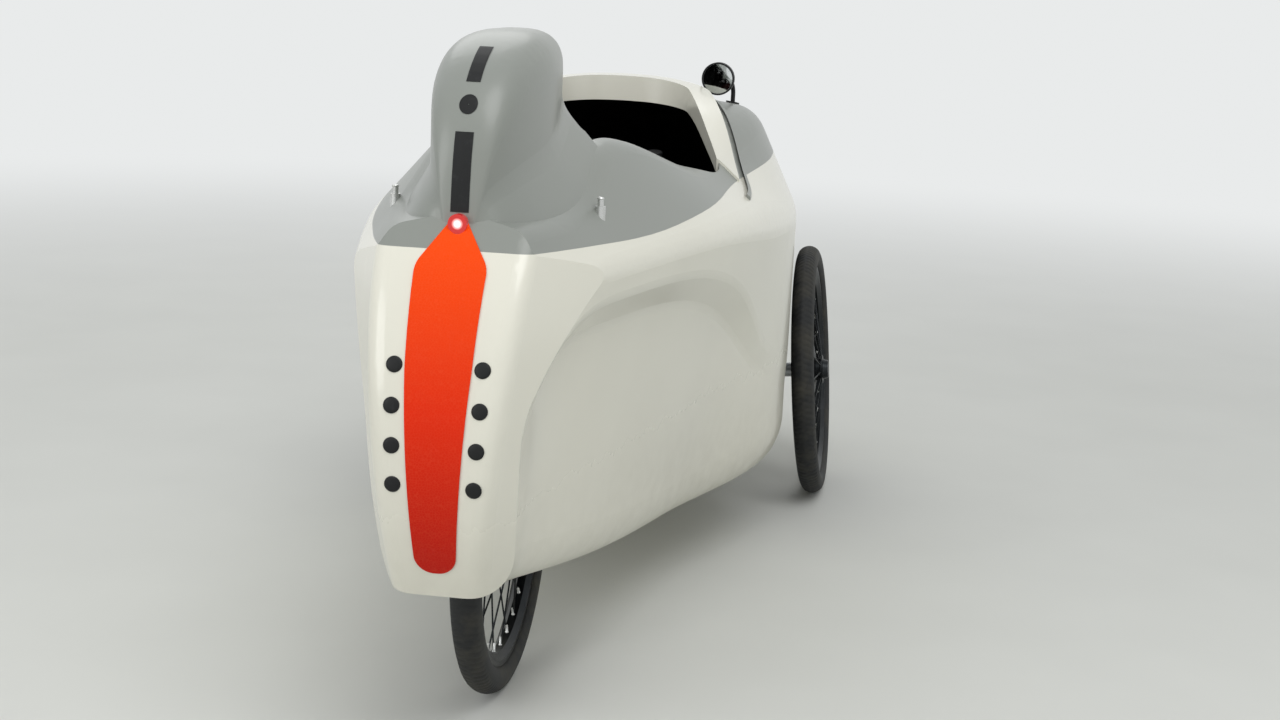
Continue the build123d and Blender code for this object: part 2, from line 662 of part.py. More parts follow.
def make_upright():
    """Steered upright with its axle stub, brake plate, steering arm and pins."""
    x, y = FRONT_AXLE_X, KINGPIN_Y
    height = UPRIGHT_TOP - UPRIGHT_BOTTOM
    kingpin_bore = Pos(x, y, STRUT_BOTTOM + 115) * Cylinder(KINGPIN_RADIUS + RUNNING_GAP, 240)
    along = Vector(0, cos(radians(CAMBER)), sin(radians(CAMBER)))
    hub = Vector(x, WHEEL_Y, WHEEL_Z)
    inner_end = hub - along * ((WHEEL_Y - KINGPIN_Y) / cos(radians(CAMBER)))
    plate_radius, plate_from, plate_to = BRAKE_PLATE
    upright = Pos(x, y, UPRIGHT_BOTTOM + height / 2) * Cylinder(UPRIGHT_RADIUS, height)
    upright += rod(tuple(inner_end), tuple(hub + along * plate_to), STUB_RADIUS)
    upright += rod(tuple(inner_end), tuple(hub + along * 22), AXLE_RADIUS)
    upright += place_front(side_cylinder(plate_radius, 0, 0, plate_from, plate_to))
    steer_arm = bar_outline((x - 6, y, 11), (TIE_ROD_X, y + STEER_ARM_OUT, ROD_EYE_RADIUS))
    upright += extrude(Pos(0, 0, STEER_ARM_BOTTOM) * steer_arm, STEER_ARM_TOP - STEER_ARM_BOTTOM)
    upright -= kingpin_bore
    rod_pin_top = (STEER_ARM_BOTTOM + STEER_ARM_TOP) / 2
    rod_pin = Cylinder(ROD_PIN_RADIUS, rod_pin_top - TIE_ROD_Z + 9)
    upright += Pos(TIE_ROD_X, y + STEER_ARM_OUT, (rod_pin_top + TIE_ROD_Z - 9) / 2) * rod_pin
    foot_pin = Cylinder(ROD_PIN_RADIUS, UPRIGHT_BOTTOM - LOWER_ARM_Z + 14)
    upright += Pos(x, y, (UPRIGHT_BOTTOM + LOWER_ARM_Z - 12) / 2) * foot_pin
    return upright


def make_tie_rod():
    """Rod with an eye at each end, from the tiller's lever to the steering arm."""
    inner_y, outer_y = STEER_ARM_OUT, KINGPIN_Y + STEER_ARM_OUT
    tie = rod((TIE_ROD_X, inner_y + 6, TIE_ROD_Z), (TIE_ROD_X, outer_y - 6, TIE_ROD_Z),
              TIE_ROD_RADIUS)
    for y in (inner_y, outer_y):
        tie += Pos(TIE_ROD_X, y, TIE_ROD_Z) * Cylinder(ROD_EYE_RADIUS, 10)
        tie -= Pos(TIE_ROD_X, y, TIE_ROD_Z) * Cylinder(ROD_PIN_RADIUS + RUNNING_GAP, 40)
    return tie


def make_front_axle():
    """The left front wheel with all that carries and steers it, and the same on the right."""
    nodes["strut_left"] = make_strut()
    nodes["lower_arm_left"] = make_lower_arm()
    nodes["upright_left"] = make_upright()
    nodes["tie_rod_left"] = make_tie_rod()
    wheel = wheel_hub(FRONT_HUB) + rim() + spokes((46, -14), (27, 21))
    nodes["wheel_front_left"] = place_front(wheel)
    nodes["tyre_front_left"] = place_front(tyre())
    for name in ("strut", "lower_arm", "upright", "tie_rod", "wheel_front", "tyre_front"):
        nodes[name + "_right"] = nodes[name + "_left"].mirror(Plane.XZ)


def make_subframe():
    """Floor frame that carries the lower arms, the tiller pin and the crank post."""
    x = FRONT_AXLE_X
    side = ARM_PIVOT_Y + SUBFRAME_SIDE
    frame = block(x - SUBFRAME_END, ARM_FRONT_X + SUBFRAME_END, -side, side, 90, SUBFRAME_TOP)
    frame = frame & inner
    for lug_x in (x - LUG_OFFSET, x + LUG_OFFSET, ARM_FRONT_X + LUG_OFFSET):
        lug = block(lug_x - LUG_THICKNESS / 2, lug_x + LUG_THICKNESS / 2,
                    ARM_PIVOT_Y - LUG_HALF_WIDTH, ARM_PIVOT_Y + LUG_HALF_WIDTH,
                    SUBFRAME_TOP - 2, LOWER_ARM_Z + 14)
        frame += both_sides(lug)
    pin_height = TILLER_PIN_TOP - SUBFRAME_TOP
    frame += Pos(x, 0, SUBFRAME_TOP + pin_height / 2 - 2) * Cylinder(
        TILLER_PIN_RADIUS, pin_height + 4)
    nodes["subframe"] = frame

    post = make_face(FilletPolyline(
        (POST_FOOT[0], SUBFRAME_TOP), (POST_FOOT[1], SUBFRAME_TOP), (CRANK_X + 14, CRANK_Z - 14),
        (CRANK_X - 4, CRANK_Z + 22), (CRANK_X - 24, CRANK_Z + 4), radius=[4, 60, 8, 8, 4],
        close=True))
    post = extrude(Plane.XZ * post, POST_HALF_WIDTH, both=True)
    window = make_face(FilletPolyline(
        (POST_FOOT[0] + 45, SUBFRAME_TOP + 22), (POST_FOOT[1] - 5, SUBFRAME_TOP + 22),
        (CRANK_X - 18, CRANK_Z - 46), (CRANK_X - 38, CRANK_Z - 34), radius=[6, 30, 6, 6],
        close=True))
    post -= extrude(Plane.XZ * window, POST_HALF_WIDTH + 12, both=True)
    post += side_cylinder(CRANK_SHELL_RADIUS, CRANK_X, CRANK_Z, -CRANK_SHELL_Y, CRANK_SHELL_Y)
    post -= side_cylinder(SPINDLE_RADIUS + RUNNING_GAP, CRANK_X, CRANK_Z, -60, 60)
    nodes["crank_post"] = post


def make_tiller():
    """Tiller with its steering lever, column, crossbar, grips and brake levers."""
    x = FRONT_AXLE_X
    pin_bore = Pos(x, 0, 160) * Cylinder(TILLER_PIN_RADIUS + RUNNING_GAP, 70.8)
    sleeve = Pos(x, 0, (SUBFRAME_TOP + 1 + SLEEVE_TOP) / 2) * Cylinder(
        SLEEVE_RADIUS, SLEEVE_TOP - SUBFRAME_TOP - 1)
    lever = bar_outline((x, 0, SLEEVE_RADIUS), (TIE_ROD_X, STEER_ARM_OUT, ROD_EYE_RADIUS),
                        (TIE_ROD_X, -STEER_ARM_OUT, ROD_EYE_RADIUS))
    lever = extrude(Pos(0, 0, STEER_ARM_BOTTOM) * lever, STEER_ARM_TOP - STEER_ARM_BOTTOM)
    column = sleeve - pin_bore + (lever - pin_bore)
    rod_pin = Cylinder(ROD_PIN_RADIUS, STEER_ARM_BOTTOM - TIE_ROD_Z + 9)
    column += both_sides(
        Pos(TIE_ROD_X, STEER_ARM_OUT, (STEER_ARM_BOTTOM + TIE_ROD_Z - 7) / 2) * rod_pin)
    path = Plane.XZ * FilletPolyline((x, SLEEVE_TOP - 2), TILLER_KNEE, TILLER_TOP,
                                     radius=TILLER_BEND)
    column += sweep(Plane(origin=path @ 0, z_dir=path % 0) * Circle(TILLER_RADIUS), path=path)
    top_x, top_z = TILLER_TOP
    column += side_cylinder(TILLER_RADIUS, top_x, top_z, -GRIP_Y, GRIP_Y)
    stub_top = (top_x - 12, GRIP_Y, top_z + GRIP_LENGTH - 8)
    column += both_sides(rod((top_x, GRIP_Y, top_z - TILLER_RADIUS), stub_top, STUB_BAR_RADIUS))
    nodes["tiller"] = column
    grip = rod((top_x - 1.3, GRIP_Y, top_z + 12), (top_x - 13.3, GRIP_Y, top_z + GRIP_LENGTH),
               GRIP_RADIUS)
    nodes["tiller_grips"] = both_sides(grip) - column
    blade = make_face(FilletPolyline(*[(top_x + along, top_z + up) for along, up in BRAKE_LEVER],
                                     radius=BRAKE_LEVER_RADII, close=True))
    blade = extrude(Plane.XZ * blade, BRAKE_LEVER_WIDTH / 2, both=True)
    nodes["brake_levers"] = both_sides(Pos(0, GRIP_Y - 4, 0) * blade) - column


def make_drive():
    """Crankset with chainring, pedals, idlers and chain."""
    ring = Circle(CHAINRING_PITCH_RADIUS - CHAIN_HALF_HEIGHT - MESH_GAP)
    ring -= PolarLocations(CHAINRING_PITCH_RADIUS - 2, CHAINRING_TEETH) * Circle(TOOTH_GAP_RADIUS)
    ring -= PolarLocations(RING_WINDOW_PITCH, RING_WINDOWS) * Circle(RING_WINDOW_RADIUS)
    ring = extrude(Plane.XZ * ring, RING_THICKNESS / 2, both=True)
    crank = Pos(CRANK_X, CHAIN_Y, CRANK_Z) * ring
    crank += side_cylinder(SPINDLE_RADIUS, CRANK_X, CRANK_Z, -CRANK_ARM_Y, CRANK_ARM_Y)
    crank += side_cylinder(CRANK_END_RADIUS - 1, CRANK_X, CRANK_Z, -CRANK_ARM_Y + 4, CHAIN_Y + 8)
    arm = bar_outline((0, 0, CRANK_END_RADIUS), (CRANK_LENGTH, 0, CRANK_EYE_RADIUS))
    arm = extrude(Plane.XZ * arm, CRANK_ARM_THICKNESS / 2, both=True)
    crank += Pos(CRANK_X, -CRANK_ARM_Y, CRANK_Z) * arm
    crank += Pos(CRANK_X, CRANK_ARM_Y, CRANK_Z) * arm.rotate(Axis.Y, 180)
    for side in (-1, 1):
        ends = sorted((side * CRANK_ARM_Y, side * (PEDAL_OUTER_Y - 8)))
        crank += side_cylinder(PEDAL_PIN_RADIUS, CRANK_X - side * CRANK_LENGTH, CRANK_Z, *ends)
    nodes["crankset"] = crank

    width = PEDAL_OUTER_Y - PEDAL_INNER_Y
    plan = RectangleRounded(PEDAL_LENGTH, width, 8)
    plan -= Pos(PEDAL_WINDOW_X, 0) * RectangleRounded(PEDAL_WINDOW_LENGTH, width - 16, 4)
    plan -= Pos(-PEDAL_WINDOW_X, 0) * RectangleRounded(PEDAL_WINDOW_LENGTH, width - 16, 4)
    pedal = extrude(Pos(0, 0, -PEDAL_HEIGHT / 2) * plan, PEDAL_HEIGHT)
    pedal -= side_cylinder(PEDAL_PIN_RADIUS + RUNNING_GAP, 0, 0, -width, width / 2 - 7)
    middle = (PEDAL_INNER_Y + PEDAL_OUTER_Y) / 2
    nodes["pedal_left"] = Pos(CRANK_X - CRANK_LENGTH, middle, CRANK_Z) * pedal
    nodes["pedal_right"] = Pos(CRANK_X + CRANK_LENGTH, -middle, CRANK_Z) * pedal.mirror(Plane.XZ)

    wheels = [
        (CRANK_X, CRANK_Z, CHAINRING_PITCH_RADIUS),
        (IDLER_A[0], IDLER_A[1], -IDLER_A[2]),
        (REAR_AXLE_X, TYRE_RADIUS, SPROCKET_PITCH_RADIUS),
        (IDLER_B[0], IDLER_B[1], IDLER_B[2]),
    ]
    loop = chain_outline(wheels, CHAIN_HALF_HEIGHT) - chain_outline(wheels, -CHAIN_HALF_HEIGHT)
    chain = extrude(Plane.XZ * loop, CHAIN_WIDTH / 2, both=True)
    nodes["chain"] = Pos(0, CHAIN_Y, 0) * chain

    idlers = []
    for x, z, radius in (IDLER_A, IDLER_B):
        roller = side_cylinder(radius - CHAIN_HALF_HEIGHT, x, z, CHAIN_Y - 5, CHAIN_Y + 5)
        roller += side_cylinder(IDLER_PIN_RADIUS, x, z, CHAIN_Y - 5, CHAIN_Y + 22)
        stand = block(x - IDLER_STAND_HALF, x + IDLER_STAND_HALF, CHAIN_Y + 14, CHAIN_Y + 20,
                      90, z + 10)
        idlers.append(roller + (stand & inner))
    nodes["chain_idlers"] = idlers[0] + idlers[1]


def make_rear_axle():
    """Rear wheel with its sprocket, and the arm that carries it."""
    wheel = wheel_hub(REAR_HUB) + rim() + spokes((27, -18), (27, 18))
    wheel = Pos(REAR_AXLE_X, 0, TYRE_RADIUS) * wheel
    sprocket = side_cylinder(SPROCKET_PITCH_RADIUS - CHAIN_HALF_HEIGHT - MESH_GAP,
                             REAR_AXLE_X, TYRE_RADIUS, CHAIN_Y - 1.5, CHAIN_Y + 1.5)
    sprocket += side_cylinder(SPROCKET_BOSS_RADIUS, REAR_AXLE_X, TYRE_RADIUS, CHAIN_Y - 1.5, -30)
    wheel += sprocket - side_cylinder(BORE_RADIUS, REAR_AXLE_X, TYRE_RADIUS, -70, 0)
    nodes["wheel_rear"] = wheel
    nodes["tyre_rear"] = Pos(REAR_AXLE_X, 0, TYRE_RADIUS) * tyre()
    pivot = (REAR_AXLE_X + SWING_ARM_LENGTH, SWING_PIVOT_Z)
    arm = side_cylinder(AXLE_RADIUS, REAR_AXLE_X, TYRE_RADIUS, REAR_BOX_RIGHT + 3,
                        REAR_BOX_LEFT - 5)
    blade = Plane.XZ * bar_outline((REAR_AXLE_X, TYRE_RADIUS, 13), (*pivot, 15))
    for y_from, y_to in ((REAR_BOX_RIGHT + 2, REAR_BOX_RIGHT + 8),
                         (REAR_BOX_LEFT - 13, REAR_BOX_LEFT - 4)):
        plate = extrude(blade, (y_to - y_from) / 2, both=True)
        arm += Pos(0, (y_from + y_to) / 2, 0) * plate
    arm += side_cylinder(SWING_PIVOT_RADIUS, *pivot, REAR_BOX_RIGHT + 2, REAR_BOX_LEFT - 4)
    nodes["swing_arm"] = arm
    stands = []
    for y_from, y_to in ((REAR_BOX_LEFT - 4, REAR_BOX_LEFT + 2),
                         (REAR_BOX_RIGHT - 4, REAR_BOX_RIGHT + 2)):
        plate = block(pivot[0] - 18, pivot[0] + 18, y_from, y_to, 90, pivot[1] + 18)
        stands.append(plate & inner)
    nodes["swing_arm_mount"] = stands[0] + stands[1] - nodes["wheel_box_rear"]


def profile_sheet(lower, upper, lower_radii, upper_radii):
    """A sheet across the vehicle between two bent lines seen from the side."""
    bottom = FilletPolyline(*lower, radius=lower_radii)
    top = FilletPolyline(*upper, radius=upper_radii)
    ends = Line(lower[0], upper[0]) + Line(lower[-1], upper[-1])
    return extrude(Plane.XZ * make_face(bottom + top + ends), 300, both=True)


def make_seat():
    """Seat shell, its cushion and the two ribs that carry it on the floor."""
    half = SEAT_THICKNESS / 2
    under = inset_corners(SEAT_LINE, half, closed=False)
    over = inset_corners(SEAT_LINE, -half, closed=False)
    corners = SEAT_PLAN + [(x, -y) for x, y in reversed(SEAT_PLAN)]
    plan = make_face(FilletPolyline(*corners, radius=SEAT_CORNER_RADIUS, close=True))
    convex = (half, -half, -half, half)
    upper_r = [r + change for r, change in zip(SEAT_RADII, convex)]
    lower_r = [r - change for r, change in zip(SEAT_RADII, convex)]
    seat = profile_sheet(under, over, lower_r, upper_r) & extrude(plan, 1000)
    nodes["seat_shell"] = seat
    pad_line = inset_corners(SEAT_LINE[1:-1], -half - 0.3, closed=False)
    pad_top = inset_corners(SEAT_LINE[1:-1], -half - PAD_THICKNESS, closed=False)
    pad = profile_sheet(pad_line, pad_top, [r - half for r in SEAT_RADII[1:3]],
                        [r - half - PAD_THICKNESS for r in SEAT_RADII[1:3]])
    nodes["seat_pad"] = pad & extrude(offset(plan, -PAD_MARGIN), 1000)
    rib = block(*SEAT_RIB, 90, 330) & inner
    above = make_face(FilletPolyline(*over, radius=upper_r) + Line(over[0], (over[0][0], 900))
                      + Line((over[0][0], 900), (over[-1][0], 900))
                      + Line((over[-1][0], 900), over[-1]))
    rib = rib - extrude(Plane.XZ * above, 300, both=True) - seat
    nodes["seat_ribs"] = both_sides(rib)


def make_mirrors():
    """Round mirrors on curved stalks with oval feet beside the front of the cockpit."""
    column = Pos(MIRROR_FOOT_X, MIRROR_FOOT_Y, 500) * extrude(Ellipse(*MIRROR_FOOT_SIZE), 400)
    foot = ((Pos(0, 0, MIRROR_FOOT_HEIGHT) * deck_core) & column) - deck_core
    path = FilletPolyline(
        (MIRROR_FOOT_X, MIRROR_FOOT_Y, foot.bounding_box().min.Z),
        (MIRROR_FOOT_X + 4, MIRROR_FOOT_Y, MIRROR_Z),
        (MIRROR_X + 6, MIRROR_Y, MIRROR_Z), radius=MIRROR_STALK_BEND)
    stalk = sweep(Plane(origin=path @ 0, z_dir=path % 0) * Circle(MIRROR_STALK_RADIUS), path=path)
    place = Location((MIRROR_X, MIRROR_Y, MIRROR_Z), (0, 90, 0))
    housing = place * (Pos(0, 0, MIRROR_DEPTH / 2 - 3) * Cylinder(MIRROR_RADIUS, MIRROR_DEPTH))
    glass_seat = place * (Pos(0, 0, -3) * Cylinder(MIRROR_RADIUS - MIRROR_BEZEL, 4))
    nodes["mirror_left"] = foot + (stalk - deck_core) + housing - glass_seat
    nodes["mirror_glass_left"] = place * (
        Pos(0, 0, -2) * Cylinder(MIRROR_RADIUS - MIRROR_BEZEL, 2))
    for name in ("mirror", "mirror_glass"):
        nodes[name + "_right"] = nodes[name + "_left"].mirror(Plane.XZ)


def make_hood_studs():
    """Upright studs on small bosses, left and right."""
    studs = []
    for x, y in HOOD_STUDS:
        column = Pos(x, y, 750) * Cylinder(STUD_BOSS_RADIUS, 400)
        boss_top = (column & outer).bounding_box().max.Z + STUD_BOSS_HEIGHT
        boss = Pos(x, y, boss_top - 25) * Cylinder(STUD_BOSS_RADIUS, 50)
        stud = Pos(x, y, boss_top + STUD_LENGTH / 2) * Cylinder(STUD_RADIUS, STUD_LENGTH)
        studs.append((boss + stud) - outer)
    both = studs + [stud.mirror(Plane.XZ) for stud in studs]
    nodes["hood_studs"] = Compound(both)


make_shell_pieces()
make_wheel_boxes()
make_front_axle()
make_subframe()
make_tiller()
make_drive()
make_rear_axle()
make_seat()
make_mirrors()
make_hood_studs()

for name, shape in nodes.items():
    export_step(shape, "parts/" + name + ".step")
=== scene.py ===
"""Looks of the three-wheeled velomobile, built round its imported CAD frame.

Metres, in the frame of the CAD model: +X is forward, +Y is to the left, +Z is up. Each class
holds the sizes of one sub-assembly and dresses it: shell, stern fittings, wheels, drive,
steering, mirrors, hood studs and seat. A finished piece has its place in its mesh, so that
patterns which read Object coordinates stay where they belong.
"""
import json
import logging
import math
from dataclasses import dataclass, field
from enum import Enum

import bpy
import numpy as np
from mathutils import Matrix, Vector
from mathutils.bvhtree import BVHTree

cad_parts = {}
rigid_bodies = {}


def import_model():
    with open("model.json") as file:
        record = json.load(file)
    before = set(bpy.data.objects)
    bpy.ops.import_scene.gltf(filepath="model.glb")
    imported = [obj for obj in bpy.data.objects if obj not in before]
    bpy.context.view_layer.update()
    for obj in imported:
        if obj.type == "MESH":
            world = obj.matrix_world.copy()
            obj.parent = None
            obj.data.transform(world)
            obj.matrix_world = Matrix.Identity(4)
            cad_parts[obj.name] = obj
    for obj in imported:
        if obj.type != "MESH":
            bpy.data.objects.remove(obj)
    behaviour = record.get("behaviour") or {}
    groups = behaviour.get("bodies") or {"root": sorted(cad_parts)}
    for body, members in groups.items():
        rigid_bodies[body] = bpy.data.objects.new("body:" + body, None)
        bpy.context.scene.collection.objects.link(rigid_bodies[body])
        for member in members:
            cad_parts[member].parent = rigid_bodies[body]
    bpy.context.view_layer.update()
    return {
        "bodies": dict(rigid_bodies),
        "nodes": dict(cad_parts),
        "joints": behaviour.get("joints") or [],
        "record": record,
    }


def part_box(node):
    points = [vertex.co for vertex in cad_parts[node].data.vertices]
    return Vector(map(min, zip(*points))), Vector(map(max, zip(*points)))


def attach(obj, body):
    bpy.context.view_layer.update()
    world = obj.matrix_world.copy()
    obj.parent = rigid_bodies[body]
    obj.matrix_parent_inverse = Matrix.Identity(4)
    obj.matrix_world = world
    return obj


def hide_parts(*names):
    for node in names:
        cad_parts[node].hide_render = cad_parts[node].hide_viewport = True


Tree = bpy.types.NodeTree
Socket = bpy.types.NodeSocket
Piece = bpy.types.Object
Solid = tuple[np.ndarray, list]
Pair = tuple[float, float]
Point = tuple[float, float, float]
Pairs = tuple[Pair, ...]

LOG = logging.getLogger("velomobile")
MM = 0.001
CAMBER = math.radians(5)
FORWARD = Vector((1, 0, 0))
MULTIPLY = {"operation": "MULTIPLY"}
SMOOTH_STEP = {"interpolation_type": "SMOOTHSTEP"}
RGBA = {"data_type": "RGBA"}
# The sockets of a Mix node that mixes colours.
MIX_A, MIX_B, MIX_OUT = 6, 7, 2


class Side(Enum):
    """The two sides of the vehicle, as signs along Y."""

    LEFT = 1
    RIGHT = -1

    @property
    def word(self) -> str:
        """The side's name as the CAD nodes use it."""
        return self.name.lower()


def linear(code: str) -> tuple[float, float, float, float]:
    """Turn an sRGB hex colour into linear RGBA.

    Args:
        code: six hex digits, such as "E6E3CF".

    Returns:
        The linear colour with an alpha of 1.
    """
    channels = [int(code[i:i + 2], 16) / 255 for i in (0, 2, 4)]
    values = [c / 12.92 if c <= 0.04045 else ((c + 0.055) / 1.055) ** 2.4 for c in channels]
    return (*values, 1.0)


def add_node(tree: Tree, kind: str, inputs: dict | None = None, settings: dict | None = None,
             output: int | str = 0) -> Socket | None:
    """Add a shader node with its settings and links.

    Args:
        tree: the node tree that the node goes into.
        kind: the node's type name without its prefix.
        inputs: by name or number, the sockets that feed the inputs, or plain values for them,
            where a string is an sRGB hex colour.
        settings: attributes of the node.
        output: the output that is returned, by name or number.

    Returns:
        The chosen output socket, or None for a node without outputs.
    """
    node = tree.nodes.new("ShaderNode" + kind)
    for name, value in (settings or {}).items():
        setattr(node, name, value)
    for name, value in (inputs or {}).items():
        if isinstance(value, bpy.types.NodeSocket):
            tree.links.new(value, node.inputs[name])
        else:
            node.inputs[name].default_value = linear(value) if isinstance(value, str) else value
    return node.outputs[output] if len(node.outputs) else None


def emptied_tree(owner: bpy.types.Material | bpy.types.World) -> Tree:
    """Switch a material or a world to nodes, and empty its tree.

    Args:
        owner: the material or world.

    Returns:
        Its node tree.
    """
    owner.use_nodes = True
    owner.node_tree.nodes.clear()
    return owner.node_tree


def speckled(tree: Tree, place: Socket, size_mm: float, detail: float, used: Pair, ends: Pair,
             roughness: float = 0.5) -> Socket:
    """A value that goes from one end to the other with cloudy noise.

    Args:
        tree: the node tree.
        place: the Object coordinate, in metres.
        size_mm: the width of a cloud, in millimetres.
        detail: the number of finer layers.
        used: the range of the noise that is used.
        ends: the values that this range becomes.
        roughness: how strong each finer layer is.

    Returns:
        The value's socket.
    """
    cloud = add_node(tree, "TexNoise", {
        "Vector": place, "Scale": 1 / (size_mm * MM), "Detail": detail, "Roughness": roughness})
    return add_node(tree, "MapRange", {
        "Value": cloud, "From Min": used[0], "From Max": used[1], "To Min": ends[0], "To Max": ends[1]})


def soiled(tree: Tree, share: Socket, colours: tuple, roughness: Pair, full: float = 1.0) -> dict:
    """Colour and roughness that one share takes from clean to dirty.

    Args:
        tree: the node tree.
        share: how dirty each spot is.
        colours: the clean and the dirty colour, as sockets or sRGB hex.
        roughness: the clean and the dirty roughness.
        full: the share at which the roughness has reached its end.

    Returns:
        Sockets by the name of the Principled input.
    """
    colour = add_node(tree, "Mix", {0: share, MIX_A: colours[0], MIX_B: colours[1]}, RGBA, MIX_OUT)
    rough = add_node(tree, "MapRange", {
        "Value": share, "From Max": full, "To Min": roughness[0], "To Max": roughness[1]})
    return {"Base Color": colour, "Roughness": rough}


@dataclass(frozen=True)
class Finish:
    """A finish: a name and the nodes that feed a Principled shader."""

    name: str

    def surface(self, tree: Tree, place: Socket) -> dict:
        """Work out what feeds the shader.

        Args:
            tree: the node tree.
            place: the Object coordinate, in metres.

        Returns:
            Sockets and values by the name of the Principled input, and as Relief the socket of
            the surface's height, the depth in millimetres and the strength.
        """
        raise NotImplementedError

    def make(self) -> bpy.types.Material:
        """Build the material."""
        material = bpy.data.materials.new(self.name)
        tree = emptied_tree(material)
        place = add_node(tree, "TexCoord", output="Object")
        inputs = self.surface(tree, place)
        if "Relief" in inputs:
            height, depth_mm, strength = inputs.pop("Relief")
            inputs["Normal"] = add_node(tree, "Bump", {
                "Height": height, "Distance": depth_mm * MM, "Strength": strength})
        shader = add_node(tree, "BsdfPrincipled", inputs)
        add_node(tree, "OutputMaterial", {"Surface": shader})
        return material


@dataclass(frozen=True)
class Gelcoat(Finish):
    """Gelcoat over glass-fibre laminate: sprayed in the mould and polished, so it is glossy, with
    faint long waves from the fibre below and a film of road dust that grows towards the floor."""

    colour: str
    dust: str = "8C8570"
    dust_top: float = 0.42
    dust_full: float = 0.1
    dust_share: float = 0.3
    roughness: float = 0.26
    dusty_roughness: float = 0.55
    coat: float = 0.3

    def surface(self, tree: Tree, place: Socket) -> dict:
        """Cloudy colour under specks of dust, with orange peel and long waves as relief."""
        tint = speckled(tree, place, 420, 3.0, (0.3, 0.7), (0.0, 0.1))
        base = add_node(tree, "Mix", {0: tint, MIX_A: self.colour, MIX_B: self.dust}, RGBA, MIX_OUT)
        height = add_node(tree, "SeparateXYZ", {"Vector": place}, output="Z")
        low = add_node(tree, "MapRange", {
            "Value": height, "From Min": self.dust_top, "From Max": self.dust_full,
            "To Max": self.dust_share}, SMOOTH_STEP)
        specks = speckled(tree, place, 30, 3.0, (0.3, 0.75), (0.5, 1.0))
        film = add_node(tree, "Math", {0: low, 1: specks}, MULTIPLY)
        peel = add_node(tree, "TexNoise", {"Vector": place, "Scale": 1 / (3.5 * MM)})
        waves = add_node(tree, "TexNoise", {"Vector": place, "Scale": 1 / (180 * MM), "Detail": 1.0})
        relief = add_node(tree, "Math", {0: peel, 1: 0.04, 2: waves}, {"operation": "MULTIPLY_ADD"})
        return {**soiled(tree, film, (base, self.dust),
                         (self.roughness, self.roughness + self.dusty_roughness)),
                "Relief": (relief, 0.6, 0.6), "IOR": 1.52, "Coat Weight": self.coat,
                "Coat Roughness": 0.08}


@dataclass(frozen=True)
class WovenLaminate(Finish):
    """Bare woven laminate with its resin: dark cloth, slightly shiny, with the twill's tows drawn
    at 6 mm, which is three times the real width, so that they show."""

    colour: str = "292B28"
    bright: str = "484B4A"
    tow_mm: float = 6.0

    def surface(self, tree: Tree, place: Socket) -> dict:
        """The product of two sine waves, along X and along Y + Z, makes the weave."""
        axes = add_node(tree, "SeparateXYZ", {"Vector": place}).node.outputs
        across = add_node(tree, "Math", {0: axes["Y"], 1: axes["Z"]}, {"operation": "ADD"})
        waves = []
        for line in (axes["X"], across):
            angle = add_node(tree, "Math", {0: line, 1: 2 * math.pi / (self.tow_mm * MM)}, MULTIPLY)
            waves.append(add_node(tree, "Math", {0: angle}, {"operation": "SINE"}))
        weave = add_node(tree, "Math", dict(enumerate(waves)), MULTIPLY)
        worn = speckled(tree, place, 70, 4.0, (0.3, 0.75), (0.24, 0.8))
        raised = add_node(tree, "MapRange", {"Value": weave, "From Min": -1.0})
        share = add_node(tree, "Math", {0: raised, 1: worn}, MULTIPLY)
        colour = add_node(tree, "Mix", {0: share, MIX_A: self.colour, MIX_B: self.bright}, RGBA, MIX_OUT)
        rough = add_node(tree, "MapRange", {"Value": worn, "To Min": 0.3, "To Max": 0.5})
        return {"Base Color": colour, "Roughness": rough, "Relief": (raised, 0.25, 0.7)}


@dataclass(frozen=True)
class ReflectiveFilm(Finish):
    """Prismatic reflective film: clear acrylic over small cells, in a deep red. Its colour goes
    from orange at the top of the strip to dark red at its foot, which is painted light and
    shade, and a faint emission is a painted glow, though the film is no lamp. The cells are
    drawn at 3.5 mm, about twice the real size."""

    top: str = "F44A04"
    middle: str = "DE2A04"
    bottom: str = "B01206"
    edge: str = "FF9468"
    bottom_z: float = 0.283
    top_z: float = 0.69
    cell_mm: float = 3.5

    def surface(self, tree: Tree, place: Socket) -> dict:
        """Three colours up the height, painted light and shade, with paler lines between the cells."""
        height = add_node(tree, "SeparateXYZ", {"Vector": place}, output="Z")
        half_z = (self.bottom_z + self.top_z) / 2
        # Painted shade at the foot and painted light at the top: dark red, then red, then orange.
        colour = self.bottom
        for low, high, code in ((self.bottom_z, half_z, self.middle),
                                (half_z, self.top_z, self.top)):
            share = add_node(tree, "MapRange", {"Value": height, "From Min": low, "From Max": high})
            colour = add_node(tree, "Mix", {0: share, MIX_A: colour, MIX_B: code}, RGBA, MIX_OUT)
        cells = add_node(tree, "TexVoronoi", {
            "Vector": place, "Randomness": 0.8, "Scale": 1 / (self.cell_mm * MM)},
            {"feature": "DISTANCE_TO_EDGE"}, "Distance")
        line = add_node(tree, "MapRange", {
            "Value": cells, "From Max": 0.12, "To Min": 0.06, "To Max": 0.0})
        colour = add_node(tree, "Mix", {0: line, MIX_A: colour, MIX_B: self.edge}, RGBA, MIX_OUT)
        rough = speckled(tree, place, 30, 3.0, (0.3, 0.7), (0.18, 0.3))
        # The emission is a painted glow: the film is no lamp.
        return {"Base Color": colour, "Emission Color": colour, "Emission Strength": 0.08,
                "Roughness": rough, "Relief": (cells, 0.1, 0.3), "Specular IOR Level": 0.12,
                "Coat Weight": 0.05, "Coat Roughness": 0.1}


